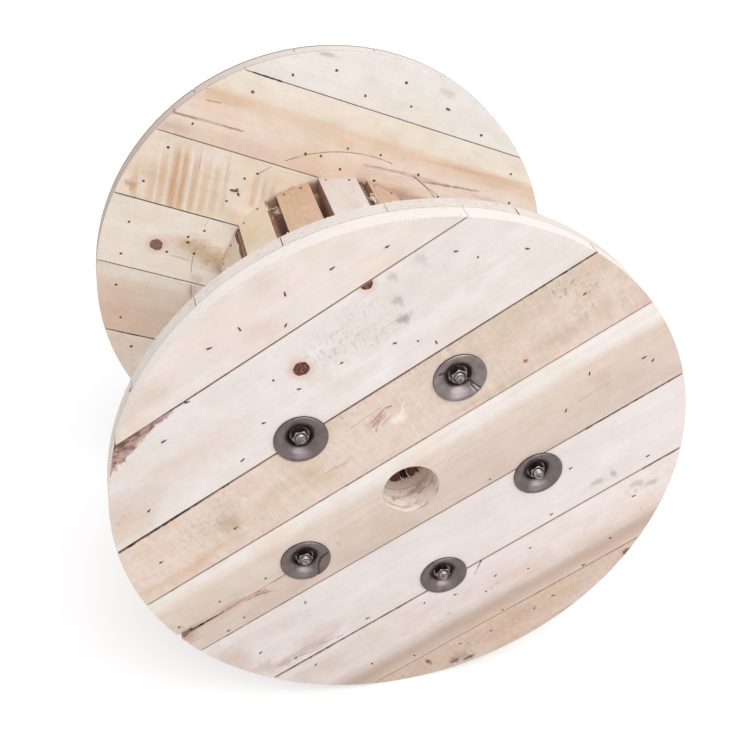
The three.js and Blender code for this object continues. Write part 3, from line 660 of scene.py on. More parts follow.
def knot_group():
    """A knot: a branch cut across. It is harder and darker than the board, ringed by its own bark, and the
    board's rings swell round it. Core and Halo are how far a point is in each, Swell moves the rings, and
    Grain is the knot's own figure."""
    outputs = [(name, "Float") for name in ("Core", "Halo", "Swell", "Grain")]
    tree, given, away = marking_tree("knot", [("Radius", "Float")], outputs)
    away = add(tree, "VectorMath.MULTIPLY", away, (1.0, 0.12, 1.08))
    ragged = add(tree, "TexNoise", {"Vector": away, "Scale": 1 / (7 * MM), "Detail": 3.0})
    distance = add(tree, "VectorMath.LENGTH", away, take=1)
    radii = add(tree, "Math.DIVIDE", distance, given["Radius"])
    radii = add(tree, "Math.MULTIPLY_ADD", ragged, 0.36, radii)
    radii = add(tree, "Math.SUBTRACT", radii, 0.18)
    core = add(tree, "MapRange", radii, 1.04, 0.94, interpolation_type="SMOOTHSTEP")
    halo = add(tree, "MapRange", radii, 2.2, 0.9, interpolation_type="SMOOTHSTEP")
    near = add(tree, "MapRange", radii, 4.5, 0.6, interpolation_type="SMOOTHERSTEP")
    swell = add(tree, "Math.MULTIPLY", near, given["Radius"])
    rings = add(tree, "Math.MULTIPLY", radii, 15.0)
    rings = add(tree, "Math.SINE", rings)
    grain = add(tree, "TexNoise", {"Vector": away, "Scale": 1 / (3.2 * MM), "Detail": 3.0, "Roughness": 0.65})
    grain = add(tree, "Math.MULTIPLY_ADD", rings, 0.05, grain)
    return end_group(tree, Core=core, Halo=halo, Swell=swell, Grain=grain)


def stain_group():
    """A stain with a ragged edge, as long and as high as Size says."""
    tree, given, away = marking_tree("stain", [("Size", "Vector")], [("Mask", "Float")])
    fine = add(tree, "TexNoise", {"Vector": away, "Scale": 1 / (9 * MM), "Detail": 3.0})
    away = add(tree, "VectorMath.DIVIDE", away, given["Size"])
    ragged = add(tree, "TexNoise", {"Vector": away, "Scale": 1.5, "Detail": 2.0, "Roughness": 0.6})
    distance = add(tree, "VectorMath.LENGTH", away, take=1)
    distance = add(tree, "Math.MULTIPLY_ADD", ragged, 1.3, distance)
    distance = add(tree, "Math.MULTIPLY_ADD", fine, 0.7, distance)
    mask = add(tree, "MapRange", distance, 2.1, 1.2, interpolation_type="SMOOTHSTEP")
    return end_group(tree, Mask=mask)


def fleck_group():
    """Mould that grows in fine broken flecks, thickest in the middle of a patch as long and as high as Size
    says."""
    tree, given, away = marking_tree("flecks", [("Size", "Vector")], [("Mask", "Float")])
    fine = add(tree, "TexNoise", {"Vector": away, "Scale": 1 / (6 * MM), "Detail": 4.0, "Roughness": 0.7})
    away = add(tree, "VectorMath.DIVIDE", away, given["Size"])
    distance = add(tree, "VectorMath.LENGTH", away, take=1)
    inside = add(tree, "MapRange", distance, 1.2, 0.2, interpolation_type="SMOOTHSTEP")
    level = add(tree, "Math.MULTIPLY_ADD", inside, 0.1, fine)
    mask = add(tree, "MapRange", level, 0.56, 0.8, interpolation_type="SMOOTHSTEP")
    mask = add(tree, "Math.MULTIPLY", mask, inside)
    return end_group(tree, Mask=mask)


def mark_group():
    """A straight mark of a given length and width, a little uneven in both, such as a crack or a line of
    dirt."""
    tree, given, away = marking_tree(
        "mark", [("Along", "Vector"), ("Half length", "Float"), ("Half width", "Float")], [("Mask", "Float")])
    waver = add(tree, "TexNoise", {"Vector": given["Point"], "Scale": 1 / (22 * MM), "Detail": 3.0})
    uneven = add(tree, "TexNoise", {"Vector": given["Point"], "Scale": 1 / (6 * MM), "Detail": 3.0})
    along = add(tree, "VectorMath.DOT_PRODUCT", away, given["Along"], take=1)
    aside = add(tree, "VectorMath.CROSS_PRODUCT", away, given["Along"])
    aside = add(tree, "SeparateXYZ", aside, take=1)
    aside = add(tree, "Math.MULTIPLY_ADD", waver, 1.6 * MM, aside)
    aside = add(tree, "Math.SUBTRACT", aside, 0.8 * MM)
    aside = add(tree, "Math.ABSOLUTE", aside)
    widths = add(tree, "Math.DIVIDE", aside, given["Half width"])
    widths = add(tree, "Math.MULTIPLY_ADD", uneven, 1.5, widths)
    narrow = add(tree, "MapRange", widths, 2.0, 1.1, interpolation_type="SMOOTHSTEP")
    along = add(tree, "Math.ABSOLUTE", along)
    lengths = add(tree, "Math.DIVIDE", along, given["Half length"])
    short = add(tree, "MapRange", lengths, 1.0, 0.8, interpolation_type="SMOOTHSTEP")
    mask = add(tree, "Math.MULTIPLY", narrow, short)
    return end_group(tree, Mask=mask)


def from_axis(tree):
    """A point's place by axis, its height above the drum's axis, its place in the flange's plane and its
    radius."""
    parts = add(tree, "SeparateXYZ", add(tree, "TexCoord", take=3), take=None).outputs
    up = add(tree, "Math.SUBTRACT", parts[2], AXIS_HEIGHT)
    flat = add(tree, "CombineXYZ", {0: parts[0], 2: up})
    return parts, up, flat, add(tree, "VectorMath.LENGTH", flat, take=1)


def stripe_group():
    """A soft stripe across a board, where the saw rubbed: it fades to both sides and to its ends, and is
    finely streaked."""
    tree, given = group_tree(
        "stripe", [("Point", "Vector"), ("Place", "Float"), ("Low", "Float"), ("High", "Float"),
                   ("Half width", "Float")],
        [("Mask", "Float")])
    parts = add(tree, "SeparateXYZ", given["Point"], take=None).outputs
    waver = add(tree, "TexNoise", {"Vector": given["Point"], "Scale": 1 / (45 * MM), "Detail": 2.0})
    leaning = add(tree, "Math.MULTIPLY_ADD", parts[2], 0.11, parts[0])
    leaning = add(tree, "Math.MULTIPLY_ADD", waver, 4 * MM, leaning)
    off = add(tree, "Math.SUBTRACT", leaning, given["Place"])
    off = add(tree, "Math.DIVIDE", add(tree, "Math.ABSOLUTE", off), given["Half width"])
    mask = add(tree, "MapRange", off, 1.25, 0.1, interpolation_type="SMOOTHSTEP")
    for end, fade in ((given["Low"], 12 * MM), (given["High"], -34 * MM)):
        reach = add(tree, "Math.DIVIDE", add(tree, "Math.SUBTRACT", parts[2], end), fade)
        reach = add(tree, "MapRange", {"Value": reach}, interpolation_type="SMOOTHSTEP")
        mask = add(tree, "Math.MULTIPLY", mask, reach)
    fine = add(tree, "VectorMath.MULTIPLY", given["Point"], (1 / (2.4 * MM), 0, 1 / (60 * MM)))
    fine = add(tree, "TexNoise", {"Vector": fine, "Scale": 1.0, "Detail": 3.0})
    fine = add(tree, "MapRange", fine, 0.3, 0.62, 0.45)
    mask = add(tree, "Math.MULTIPLY", mask, fine)
    return end_group(tree, Mask=mask)


# Depth behind an outer face where the inner ply's look is full, and where the outer ply's is.
PLY_EDGE = (26, 22)


def edges_group(wood):
    """Cut surfaces: the sawn rim is bleached and furry, the arbor hole's wall is painted a near-white warm
    tone as painted light, and a board's long edges are brown with dust. Across is the way across the board."""
    tree, given = group_tree("cut edges", [("Color", "Color"), ("Across", "Vector")], [("Color", "Color")])
    normal = add(tree, "TexCoord", take=1)
    place = add(tree, "TexCoord", take=3)
    parts, _, _, radius = from_axis(tree)
    facing = add(tree, "Math.ABSOLUTE", add(tree, "SeparateXYZ", normal, take=1))
    wall = add(tree, "MapRange", facing, 0.8, 0.5)
    rim = add(tree, "Math.GREATER_THAN", radius, RIM_RADIUS - 1.8 * MM)
    bore = add(tree, "Math.LESS_THAN", radius, BORE_RADIUS + 1.5 * MM)
    rim = add(tree, "Math.MULTIPLY", rim, wall)
    bore = add(tree, "Math.MULTIPLY", bore, wall)

    # The two inner plies of each flange are furrier than the outer ones. On the rear flange, the rim is
    # painted darker, most where it faces left, as shade; a dark band runs along the rear face's outer edge,
    # and a paler lip is kept by the winding side.
    middle = add(tree, "Math.SUBTRACT", parts[1], (FRONT_FACE + REAR_FACE) / 2)
    middle = add(tree, "Math.ABSOLUTE", middle)
    outer = (REAR_FACE - FRONT_FACE) / 2
    inner = add(tree, "MapRange", middle, outer - PLY_EDGE[1] * MM, outer - PLY_EDGE[0] * MM)
    drawn_out = add(tree, "VectorMath.MULTIPLY", place, (1, 2.6, 1))
    tufts = add(tree, "TexNoise", {"Vector": drawn_out, "Scale": 1 / (8 * MM), "Detail": 4.0,
                                   "Roughness": 0.7})
    tufts = add(tree, "MapRange", tufts, 0.47, 0.68)
    patches = add(tree, "TexNoise", {"Vector": place, "Scale": 1 / (60 * MM), "Detail": 4.0})
    patches = add(tree, "MapRange", patches, 0.38, 0.6, 0.12, 1.0)
    share = add(tree, "MapRange", {"Value": inner, "To Min": 0.25, "To Max": 0.65})
    tufts = add(tree, "Math.MULTIPLY", tufts, patches)
    tufts = add(tree, "Math.MULTIPLY", tufts, share)
    furry = add(tree, "Mix", {0: inner, 6: wood.rim, 7: linear("#e6dbd2")}, take=2, data_type="RGBA")
    furry = add(tree, "Mix", {0: tufts, 6: furry, 7: wood.rim_speck}, take=2, data_type="RGBA")
    # Painted shade: the rear flange's rim darker, most where it faces left.
    shaded = add(tree, "MapRange", add(tree, "SeparateXYZ", normal, take=0), 0.1, -0.7, 0.2, 0.75)
    behind = add(tree, "Math.GREATER_THAN", parts[1], 0.0)
    shaded = add(tree, "Math.MULTIPLY", shaded, behind)
    furry = add(tree, "Mix", {0: shaded, 6: furry, 7: linear("#ad9a8d")}, take=2, data_type="RGBA")
    arris = add(tree, "MapRange", parts[1], REAR_FACE - 5.5 * MM, REAR_FACE - 4 * MM, 0.0, 0.85)
    furry = add(tree, "Mix", {0: arris, 6: furry, 7: linear("#5c574d")}, take=2, data_type="RGBA")
    lip = add(tree, "MapRange", parts[1], REAR_INNER + 4.5 * MM, REAR_INNER + 3 * MM)
    lip = add(tree, "Math.MULTIPLY", lip, add(tree, "Math.MULTIPLY", behind, 0.75))
    furry = add(tree, "Mix", {0: lip, 6: furry, 7: wood.rim}, take=2, data_type="RGBA")
    share = add(tree, "Math.MULTIPLY", rim, 0.9)
    tone = add(tree, "Mix", {0: share, 6: given["Color"], 7: furry}, take=2, data_type="RGBA")

    # The borer left rings round the hole, plainest deep inside, and tore brown patches out of the wood. The
    # patches fade deeper in, where the near-white bore tone shows as painted light. Dirt sits where the front
    # former meets the flange.
    rings = add(tree, "TexNoise", {"W": parts[1], "Scale": 1 / (2.2 * MM), "Detail": 2.0},
                noise_dimensions="1D")
    rings = add(tree, "MapRange", rings, 0.6, 0.7, 0.0, 0.6)
    torn = add(tree, "VectorMath.MULTIPLY", place, (1, 2.4, 1))
    torn = add(tree, "TexNoise", {"Vector": torn, "Scale": 1 / (22 * MM), "Detail": 4.0, "Roughness": 0.65,
                                  "Distortion": 0.6})
    torn = add(tree, "MapRange", torn, 0.48, 0.64)
    deep = add(tree, "MapRange", parts[1], FRONT_INNER - 3 * MM, FRONT_INNER)
    share = add(tree, "MapRange", {"Value": deep, "To Min": 0.58, "To Max": 0.0})
    share = add(tree, "Math.MULTIPLY", torn, share)
    walls = add(tree, "Mix", {0: share, 6: wood.bore, 7: wood.rust_stain}, take=2, data_type="RGBA")
    scored = add(tree, "Math.MAXIMUM", torn, add(tree, "Math.MULTIPLY", deep, 0.45))
    scored = add(tree, "Math.MULTIPLY", scored, rings)
    off = add(tree, "Math.SUBTRACT", parts[1], FRONT_INNER)
    off = add(tree, "Math.ABSOLUTE", off)
    seam = add(tree, "MapRange", off, 1.1 * MM, 0.5 * MM, 0.0, 0.4)
    scored = add(tree, "Math.MAXIMUM", scored, seam)
    walls = add(tree, "Mix", {0: scored, 6: walls, 7: wood.bark}, take=2, data_type="RGBA")
    share = add(tree, "Math.MULTIPLY", bore, 0.92)
    tone = add(tree, "Mix", {0: share, 6: tone, 7: walls}, take=2, data_type="RGBA")

    aside = add(tree, "VectorMath.DOT_PRODUCT", normal, given["Across"], take=1)
    aside = add(tree, "Math.ABSOLUTE", aside)
    long_edge = add(tree, "MapRange", aside, 0.6, 0.9, 0.0, 0.95)
    free = add(tree, "Math.SUBTRACT", 1.0, add(tree, "Math.MAXIMUM", rim, bore))
    long_edge = add(tree, "Math.MULTIPLY", long_edge, free)
    tone = add(tree, "Mix", {0: long_edge, 6: tone, 7: wood.plank_edge}, take=2, data_type="RGBA")
    return end_group(tree, Color=tone)


def softwood_group(wood):
    """Rough-sawn softwood, solid right through the board: a pale, blotchy tone with faint rings about the
    log's pith, fibres along the board, scratches across it from the saw, and a surface that is dull and
    slightly furry. Point is along, through and across the board."""
    tree, given = group_tree(
        "sawn softwood",
        [("Point", "Vector"), ("Pith", "Vector"), ("Tone", "Color"), ("Drift tone", "Color"),
         ("Ring width", "Float"), ("Ring contrast", "Float"), ("Swell", "Float"), ("Saw pitch", "Float"),
         ("Saw marks", "Float"), ("Rough", "Float"), ("Blotch", "Float")],
        [("Color", "Color"), ("Height", "Float"), ("Roughness", "Float")])
    local = add(tree, "VectorMath.SUBTRACT", given["Point"], given["Pith"])

    def stretched(long, wide, **settings):
        """Noise that is long along the board and narrow across it, both in millimetres."""
        scale = (1 / (long * MM), 1 / (wide * MM), 1 / (wide * MM))
        place = add(tree, "VectorMath.MULTIPLY", local, scale)
        inputs = {key.title(): value for key, value in settings.items()}
        return add(tree, "TexNoise", {"Vector": place, "Scale": 1.0, **inputs})

    def centred(value, share):
        """A noise value spread evenly about nothing."""
        shifted = add(tree, "Math.SUBTRACT", value, 0.5)
        return add(tree, "Math.MULTIPLY", shifted, share)

    def tinted(tone, value, low, high, share, tint):
        """Multiply a tint in where a noise value runs from low to high."""
        amount = add(tree, "MapRange", value, low, high, 0.0, share, interpolation_type="SMOOTHSTEP")
        amount = add(tree, "Math.MULTIPLY", amount, given["Blotch"])
        return add(tree, "Mix", {0: amount, 6: tone, 7: linear(tint)}, take=2, data_type="RGBA",
                   blend_type="MULTIPLY")

    # Rings: distance from the pith, with the log's crookedness and the swelling round knots.
    flat = add(tree, "VectorMath.MULTIPLY", local, (0, 1, 1))
    radius = add(tree, "VectorMath.LENGTH", flat, take=1)
    crooked = centred(stretched(420, 110, detail=1.5), 34 * MM)
    radius = add(tree, "Math.ADD", radius, crooked)
    radius = add(tree, "Math.ADD", radius, given["Swell"])
    years = add(tree, "Math.DIVIDE", radius, given["Ring width"])
    uneven = add(tree, "TexNoise", {"W": years, "Scale": 0.31, "Detail": 1.0}, noise_dimensions="1D")
    phase = add(tree, "Math.MULTIPLY_ADD", uneven, 2.4, years)
    season = add(tree, "Math.FRACT", phase)
    summer = add(tree, "MapRange", season, 0.3, 0.9, interpolation_type="SMOOTHSTEP")
    winter = add(tree, "MapRange", season, 1.0, 0.93)
    late = add(tree, "Math.MULTIPLY", summer, winter)
    strong = add(tree, "TexNoise", {"W": phase, "Scale": 0.23, "Detail": 0.0}, noise_dimensions="1D")
    late = add(tree, "Math.MULTIPLY", late, strong)

    fibre = stretched(26, wood.fibre_width / MM, detail=3.0, roughness=0.6)
    streak = stretched(380, 11, detail=3.0, roughness=0.55)
    patch = stretched(190, 70, detail=3.0, roughness=0.55)
    cloud = stretched(34, 24, detail=4.0, roughness=0.62)
    mottle = stretched(10, 7, detail=4.0, roughness=0.7)
    scratch = stretched(3.2, 15, detail=3.0, roughness=0.65)
    warm = stretched(150, 85, detail=4.0, roughness=0.6)
    cool = add(tree, "VectorMath.ADD", local, (0.5, 0.7, 0.3))
    cool = add(tree, "VectorMath.MULTIPLY", cool, (8, 13, 13))
    cool = add(tree, "TexNoise", {"Vector": cool, "Scale": 1.0, "Detail": 4.0, "Roughness": 0.62})

    # Saw marks: uneven stripes across the board, plain in some places and planed off by wear in others.
    parts = add(tree, "SeparateXYZ", given["Point"], take=None).outputs
    slanted = add(tree, "Math.MULTIPLY_ADD", parts[2], 0.07, parts[0])
    strokes = add(tree, "Math.DIVIDE", slanted, given["Saw pitch"])
    saw = add(tree, "TexNoise", {"W": strokes, "Scale": 1.0, "Detail": 2.0, "Roughness": 0.6},
              noise_dimensions="1D")
    saw = centred(saw, given["Saw marks"])
    plain = add(tree, "MapRange", patch, 0.36, 0.6)
    saw = add(tree, "Math.MULTIPLY", saw, plain)

    drift = add(tree, "MapRange", patch, 0.42, 0.62, interpolation_type="SMOOTHSTEP")
    drift = add(tree, "Math.MULTIPLY", drift, 0.75)
    tone = add(tree, "Mix", {0: drift, 6: given["Tone"], 7: given["Drift tone"]}, take=2, data_type="RGBA")
    tone = tinted(tone, warm, 0.5, 0.66, 0.3, "#f9e4cf")
    tone = tinted(tone, warm, 0.5, 0.36, 0.28, "#f4e3e2")
    tone = tinted(tone, cool, 0.5, 0.66, 0.4, "#eeeedd")
    ring_share = add(tree, "Math.MULTIPLY", late, given["Ring contrast"])
    tone = add(tree, "Mix", {0: ring_share, 6: tone, 7: wood.late_wood}, take=2, data_type="RGBA",
               blend_type="MULTIPLY")

    light = add(tree, "Math.ADD", centred(streak, 0.1), centred(fibre, 0.1))
    light = add(tree, "Math.ADD", centred(cloud, 0.16), light)
    light = add(tree, "Math.MULTIPLY_ADD", saw, 0.12, light)
    grit = add(tree, "Math.ADD", centred(mottle, 0.3), centred(scratch, 0.24))
    light = add(tree, "Math.MULTIPLY_ADD", grit, given["Rough"], light)
    light = add(tree, "Math.ADD", light, 1.0)
    tone = add(tree, "VectorMath", {0: tone, "Scale": light}, operation="SCALE")

    height = add(tree, "Math.MULTIPLY_ADD", fibre, 0.4, centred(late, 0.15))
    height = add(tree, "Math.MULTIPLY_ADD", saw, 0.8, height)
    height = add(tree, "Math.MULTIPLY_ADD", mottle, given["Rough"], height)
    dull = add(tree, "Math.ADD", centred(fibre, 0.2), 0.82)
    return end_group(tree, Color=tone, Height=height, Roughness=dull)


STRIPE_LEAN = 15                     # how far a stripe's lean and waver carry it beyond its u, on the average


class Board:
    """A board's material as it is built: where a point is along, through and across it, and its colour so
    far."""

    def __init__(self, name, wood, along, across, depth):
        self.wood, self.depth, self.groups = wood, depth, wood_groups(wood)
        self.material, self.tree = new_material(name)
        along, across = Vector(along), Vector(across)
        turn = Matrix((along, across.cross(along), across)).transposed().to_euler("XYZ")
        place = add(self.tree, "TexCoord", take=3)
        sockets = {"Vector": place, "Location": (0, 0, AXIS_HEIGHT), "Rotation": turn}
        self.point = add(self.tree, "Mapping", sockets, vector_type="TEXTURE")
        self.swell = 0.0

    def place(self, u, v):
        return u * MM, self.depth, v * MM

    def knot(self, u, v, radius, plainness=1.0):
        sockets = {"Point": self.point, "Centre": self.place(u, v), "Radius": radius * MM}
        knot = use_group(self.tree, self.groups["knot"], sockets)
        self.swell = add(self.tree, "Math.ADD", knot["Swell"], self.swell)
        return knot, plainness

    def patch(self, kind, u, v, half_length, half_height):
        size = (half_length * MM, 30 * MM, half_height * MM)
        sockets = {"Point": self.point, "Centre": self.place(u, v), "Size": size}
        return use_group(self.tree, self.groups[kind], sockets)["Mask"]

    def mix(self, share, tone, strength=1.0, blend="MIX"):
        if strength != 1.0:
            share = add(self.tree, "Math.MULTIPLY", share, strength)
        if isinstance(tone, str):
            tone = getattr(self.wood, tone)
        self.colour = add(self.tree, "Mix", {0: share, 6: self.colour, 7: tone}, take=2, data_type="RGBA",
                          blend_type=blend)

    def mark(self, start_u, start_v, end_u, end_v, width, tone, strength):
        run = Vector((end_u - start_u, 0, end_v - start_v))
        sockets = {
            "Point": self.point,
            "Centre": self.place((start_u + end_u) / 2, (start_v + end_v) / 2),
            "Along": run.normalized(),
            "Half length": run.length / 2 * MM,
            "Half width": width / 2 * MM,
        }
        self.mix(use_group(self.tree, self.groups["mark"], sockets)["Mask"], tone, strength)

    def stripe(self, u, low, high, width, tone, strength):
        sockets = {"Point": self.point, "Place": (u + STRIPE_LEAN) * MM, "Low": low * MM, "High": high * MM,
                   "Half width": width / 2 * MM}
        self.mix(use_group(self.tree, self.groups["stripe"], sockets)["Mask"], tone, strength)


def banded_tone(board, bands):
    """Colours across the board, from its lower edge up, with a wavering border between them."""
    tree = board.tree
    height = add(tree, "SeparateXYZ", board.point, take=2)
    waver = add(tree, "TexNoise", {"Vector": board.point, "Scale": 1 / (160 * MM), "Detail": 3.0})
    height = add(tree, "Math.MULTIPLY_ADD", waver, 8 * MM, height)
    low, high = bands[0][0], bands[-1][0]
    share = add(tree, "MapRange", height, (low + 4) * MM, (high + 4) * MM)
    ramp = add(tree, "ValToRGB", {"Fac": share}, take=None)
    set_stops(ramp.color_ramp, [((v - low) / (high - low), linear(tone)) for v, tone in bands])
    return ramp.outputs[0]


def wane_marks(board):
    """The bark edge: bare rounded wood at its lip, then brown inner bark in torn streaks, darkest against the
    joint."""
    tree = board.tree
    inward = add(tree, "SeparateXYZ", board.point, take=1)
    rough = add(tree, "TexNoise", {"Vector": board.point, "Scale": 1 / (9 * MM), "Detail": 5.0,
                                   "Roughness": 0.7})
    place = add(tree, "VectorMath.MULTIPLY", board.point, (0.3, 1, 1))
    fine = add(tree, "TexNoise", {"Vector": place, "Scale": 1 / (3.4 * MM), "Detail": 4.0, "Roughness": 0.7})
    deep = add(tree, "Math.SUBTRACT", inward, board.depth)
    deep = add(tree, "Math.MULTIPLY_ADD", rough, 9 * MM, deep)
    facing = add(tree, "SeparateXYZ", add(tree, "TexCoord", take=1), take=1)
    sloped = add(tree, "MapRange", facing, -0.97, -0.94)
    shallow = add(tree, "MapRange", facing, -0.8, -0.84)
    sloped = add(tree, "Math.MULTIPLY", sloped, shallow)
    skin = add(tree, "MapRange", deep, 5 * MM, 7 * MM, interpolation_type="SMOOTHSTEP")
    bark = add(tree, "MapRange", deep, 9 * MM, 17 * MM, 0.12, 0.34)
    bark = add(tree, "Math.ADD", bark, fine)
    bark = add(tree, "MapRange", bark, 0.56, 0.8, interpolation_type="SMOOTHSTEP")
    bark = add(tree, "Math.MULTIPLY", bark, skin)
    board.mix(add(tree, "Math.MULTIPLY", skin, sloped), linear("#b59283"), 0.85)
    board.mix(add(tree, "Math.MULTIPLY", bark, sloped), "bark", 0.85)


def finish_board(name, wood, along, across, depth, middle, looks):
    """Give a board of the frame its material. middle is the height v of its centre line; depth is where its
    face lies."""
    label = f"sawn_softwood_{name}"
    lot = random.Random(label)
    board = Board(label, wood, along, across, depth)
    tree = board.tree

    knots = [board.knot(*knot) for knot in looks.get("knots", [])]
    first = banded_tone(board, looks["bands"]) if "bands" in looks else linear(looks["tone"])
    pith_v, pith_depth = looks.get("pith", (middle + lot.uniform(-70, 70), lot.uniform(35, 120)))
    ring_width, contrast = looks.get("rings", (lot.uniform(3.5, 5.5), lot.uniform(0.05, 0.2)))
    saw_pitch, saw_marks = looks.get("saw", (lot.choice([5, 9, 13]), lot.uniform(0.25, 0.7)))
    inward = 1 if depth < 0 else -1
    sawn = use_group(tree, board.groups["sawn softwood"], {
        "Point": board.point,
        "Pith": (lot.uniform(-3, 3), depth + inward * pith_depth * MM, pith_v * MM),
        "Tone": first,
        "Drift tone": linear(looks["drift"]) if "drift" in looks else first,
        "Ring width": ring_width * MM,
        "Ring contrast": contrast,
        "Swell": board.swell,
        "Saw pitch": saw_pitch * MM,
        "Saw marks": saw_marks,
        "Rough": looks.get("rough", 0.4),
        "Blotch": looks.get("blotch", 1.0),
    })
    board.colour = sawn["Color"]
    height = sawn["Height"]

    if "fade" in looks:
        left, right = looks["fade"]
        length_wise = add(tree, "SeparateXYZ", board.point, take=0)
        share = add(tree, "MapRange", length_wise, -0.34, 0.34, left, right)
        board.colour = add(tree, "VectorMath", {0: board.colour, "Scale": share}, operation="SCALE")
    for stripe in looks.get("stripes", []):
        board.stripe(*stripe)
    for u, v, half_length, half_height, tone, strength in looks.get("stains", []):
        board.mix(board.patch("stain", u, v, half_length, half_height), tone, strength)
    for u, v, half_length, half_height, strength in looks.get("specks", []):
        board.mix(board.patch("flecks", u, v, half_length, half_height), "fleck", strength)

    for knot, plainness in knots:
        board.mix(knot["Halo"], linear("#ecc0b0"), 0.45, "MULTIPLY")
        share = add(tree, "MapRange", knot["Grain"], 0.42, 0.66)
        heart = add(tree, "Mix", {0: share, 6: linear("#45251e"), 7: wood.knot}, take=2, data_type="RGBA")
        board.mix(knot["Core"], heart, plainness)
        height = add(tree, "Math.MULTIPLY_ADD", knot["Core"], -0.9, height)

    if looks.get("wane"):
        wane_marks(board)
    if "edges" in looks:
        looks["edges"](board)
    else:
        cut = use_group(tree, board.groups["cut edges"], {"Color": board.colour, "Across": across})
        board.colour = cut["Color"]
    for mark in looks.get("marks", []):
        board.mark(*mark)
    if looks.get("scribed"):
        # Painted shade between the staves, and the scribed nailing circle.
        board.mix(barrel_painted_shade(tree), linear("#9a745d"), 0.8)
        board.mix(scribed_line(tree), "dirt", 0.75)
    bump = add(tree, "Bump", {"Height": height, "Strength": 0.5, "Distance": wood.relief})
    finish_material(tree, Base_Color=board.colour, Roughness=sawn["Roughness"], Normal=bump,
                    Specular_IOR_Level=0.3)
    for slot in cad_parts[name].material_slots:
        slot.material = board.material


def facing_inwards(tree, out):
    """How far a face looks out of the barrel, as a cosine, and how much it belongs to the inside."""
    normal = add(tree, "TexCoord", take=1)
    outwards = add(tree, "VectorMath.DOT_PRODUCT", normal, out, take=1)
    return outwards, add(tree, "MapRange", outwards, -0.6, -0.9)


def barrel_edges(out):
    """Faces of a stave that look into the barrel, or aside into a gap, are brown: dirt and painted shade on
    the sides in the gaps, and painted shade on the faces inside the barrel. out is the way out of the barrel."""

    def brown(board):
        tree = board.tree
        outwards, inner = facing_inwards(tree, out)
        aside = add(tree, "MapRange", add(tree, "Math.ABSOLUTE", outwards), 0.6, 0.35)
        rough = add(tree, "TexNoise", {"Vector": board.point, "Scale": 1 / (14 * MM), "Detail": 3.0})
        rough = add(tree, "MapRange", rough, 0.35, 0.65, 0.8)
        aside = add(tree, "Math.MULTIPLY", aside, rough)
        # Painted shade, with some dirt: the sides in the gaps brown, and the faces inside the barrel darker.
        board.mix(aside, linear("#8f6856"), 0.97)
        board.mix(inner, "inside", 0.95)

    return brown


def former_edges(out):
    """A former shows its bored hole, painted as bright as the plies' own as painted light, and its face
    inside the barrel is painted brown as shade.
    """

    def brown(board):
        _, inner = facing_inwards(board.tree, out)
        bored = use_group(board.tree, board.groups["cut edges"], {"Color": board.colour, "Across": (0, 0, 0)})
        board.colour = bored["Color"]
        board.mix(inner, "inside", 0.9)

    return brown


SCRIBED_RADIUS = 239.5
# Where the scribed circle still shows, in degrees clockwise from the top.
SCRIBED_ARCS = [(-28, -22), (-16, 29.5), (39.5, 54)]


def scribed_line(tree):
    """The nailing circle scribed on the winding side: a line about 1 mm wide that shows only in places."""
    parts, up, flat, radius = from_axis(tree)
    off = add(tree, "Math.SUBTRACT", radius, SCRIBED_RADIUS * MM)
    off = add(tree, "Math.ABSOLUTE", off)
    line = add(tree, "MapRange", off, 1.1 * MM, 0.5 * MM)
    clock = add(tree, "Math.ARCTAN2", parts[0], up)
    turn = add(tree, "MapRange", clock, -math.pi, math.pi)
    ramp = add(tree, "ValToRGB", {"Fac": turn}, take=None)
    ramp.color_ramp.interpolation = "CONSTANT"
    black, white = (0, 0, 0, 1), (1, 1, 1, 1)
    edges = [(degrees / 360 + 0.5, tone) for arc in SCRIBED_ARCS for degrees,
             tone in zip(arc, (white, black))]
    set_stops(ramp.color_ramp, [(0, black)] + edges)
    worn = add(tree, "TexNoise", {"Vector": flat, "Scale": 1 / (24 * MM), "Detail": 3.0})
    worn = add(tree, "MapRange", worn, 0.3, 0.5)
    share = add(tree, "Math.MULTIPLY", line, ramp.outputs[0])
    share = add(tree, "Math.MULTIPLY", share, worn)
    return add(tree, "Math.MULTIPLY", share, 0.85)


def barrel_painted_shade(tree):
    """Painted shade on the face between the staves, deep in the barrel: a brown ring as wide as the staves
    are thick.
    """
    _, _, flat, radius = from_axis(tree)
    rough = add(tree, "TexNoise", {"Vector": flat, "Scale": 1 / (18 * MM), "Detail": 3.0})
    radius = add(tree, "Math.MULTIPLY_ADD", rough, 8 * MM, radius)
    return add(tree, "MapRange", radius, 200 * MM, 190 * MM, interpolation_type="SMOOTHSTEP")


def wood_groups(wood):
    """The node groups that all the boards share, made once."""
    made = {
        "knot": knot_group,
        "stain": stain_group,
        "flecks": fleck_group,
        "mark": mark_group,
        "stripe": stripe_group,
        "cut edges": lambda: edges_group(wood),
        "sawn softwood": lambda: softwood_group(wood),
    }
    return {name: bpy.data.node_groups.get(name) or make() for name, make in made.items()}


def seams_of(ply, number):
    """Marks of dirt along the joints below and above a board."""
    marks = []
    joints = JOINTS.get(ply, [])
    for joint in (number - 2, number - 1):
        if 0 <= joint < len(joints):
            left, right = joints[joint]
            rise = (right - left) / (2 * RIM_RADIUS / MM)
            for start_u, end_u, width, strength in SEAMS[ply][joint]:
                start_v = left + (start_u + RIM_RADIUS / MM) * rise
                end_v = left + (end_u + RIM_RADIUS / MM) * rise
                marks.append((start_u, start_v, end_u, end_v, width, "dirt", strength))
    return marks


# ------------------------------------------------------------------ steel


def facing_axis(tree):
    """How squarely a face looks along the drum's axis, from 0 to 1."""
    along = add(tree, "SeparateXYZ", add(tree, "TexCoord", take=1), take=1)
    return add(tree, "Math.ABSOLUTE", along)


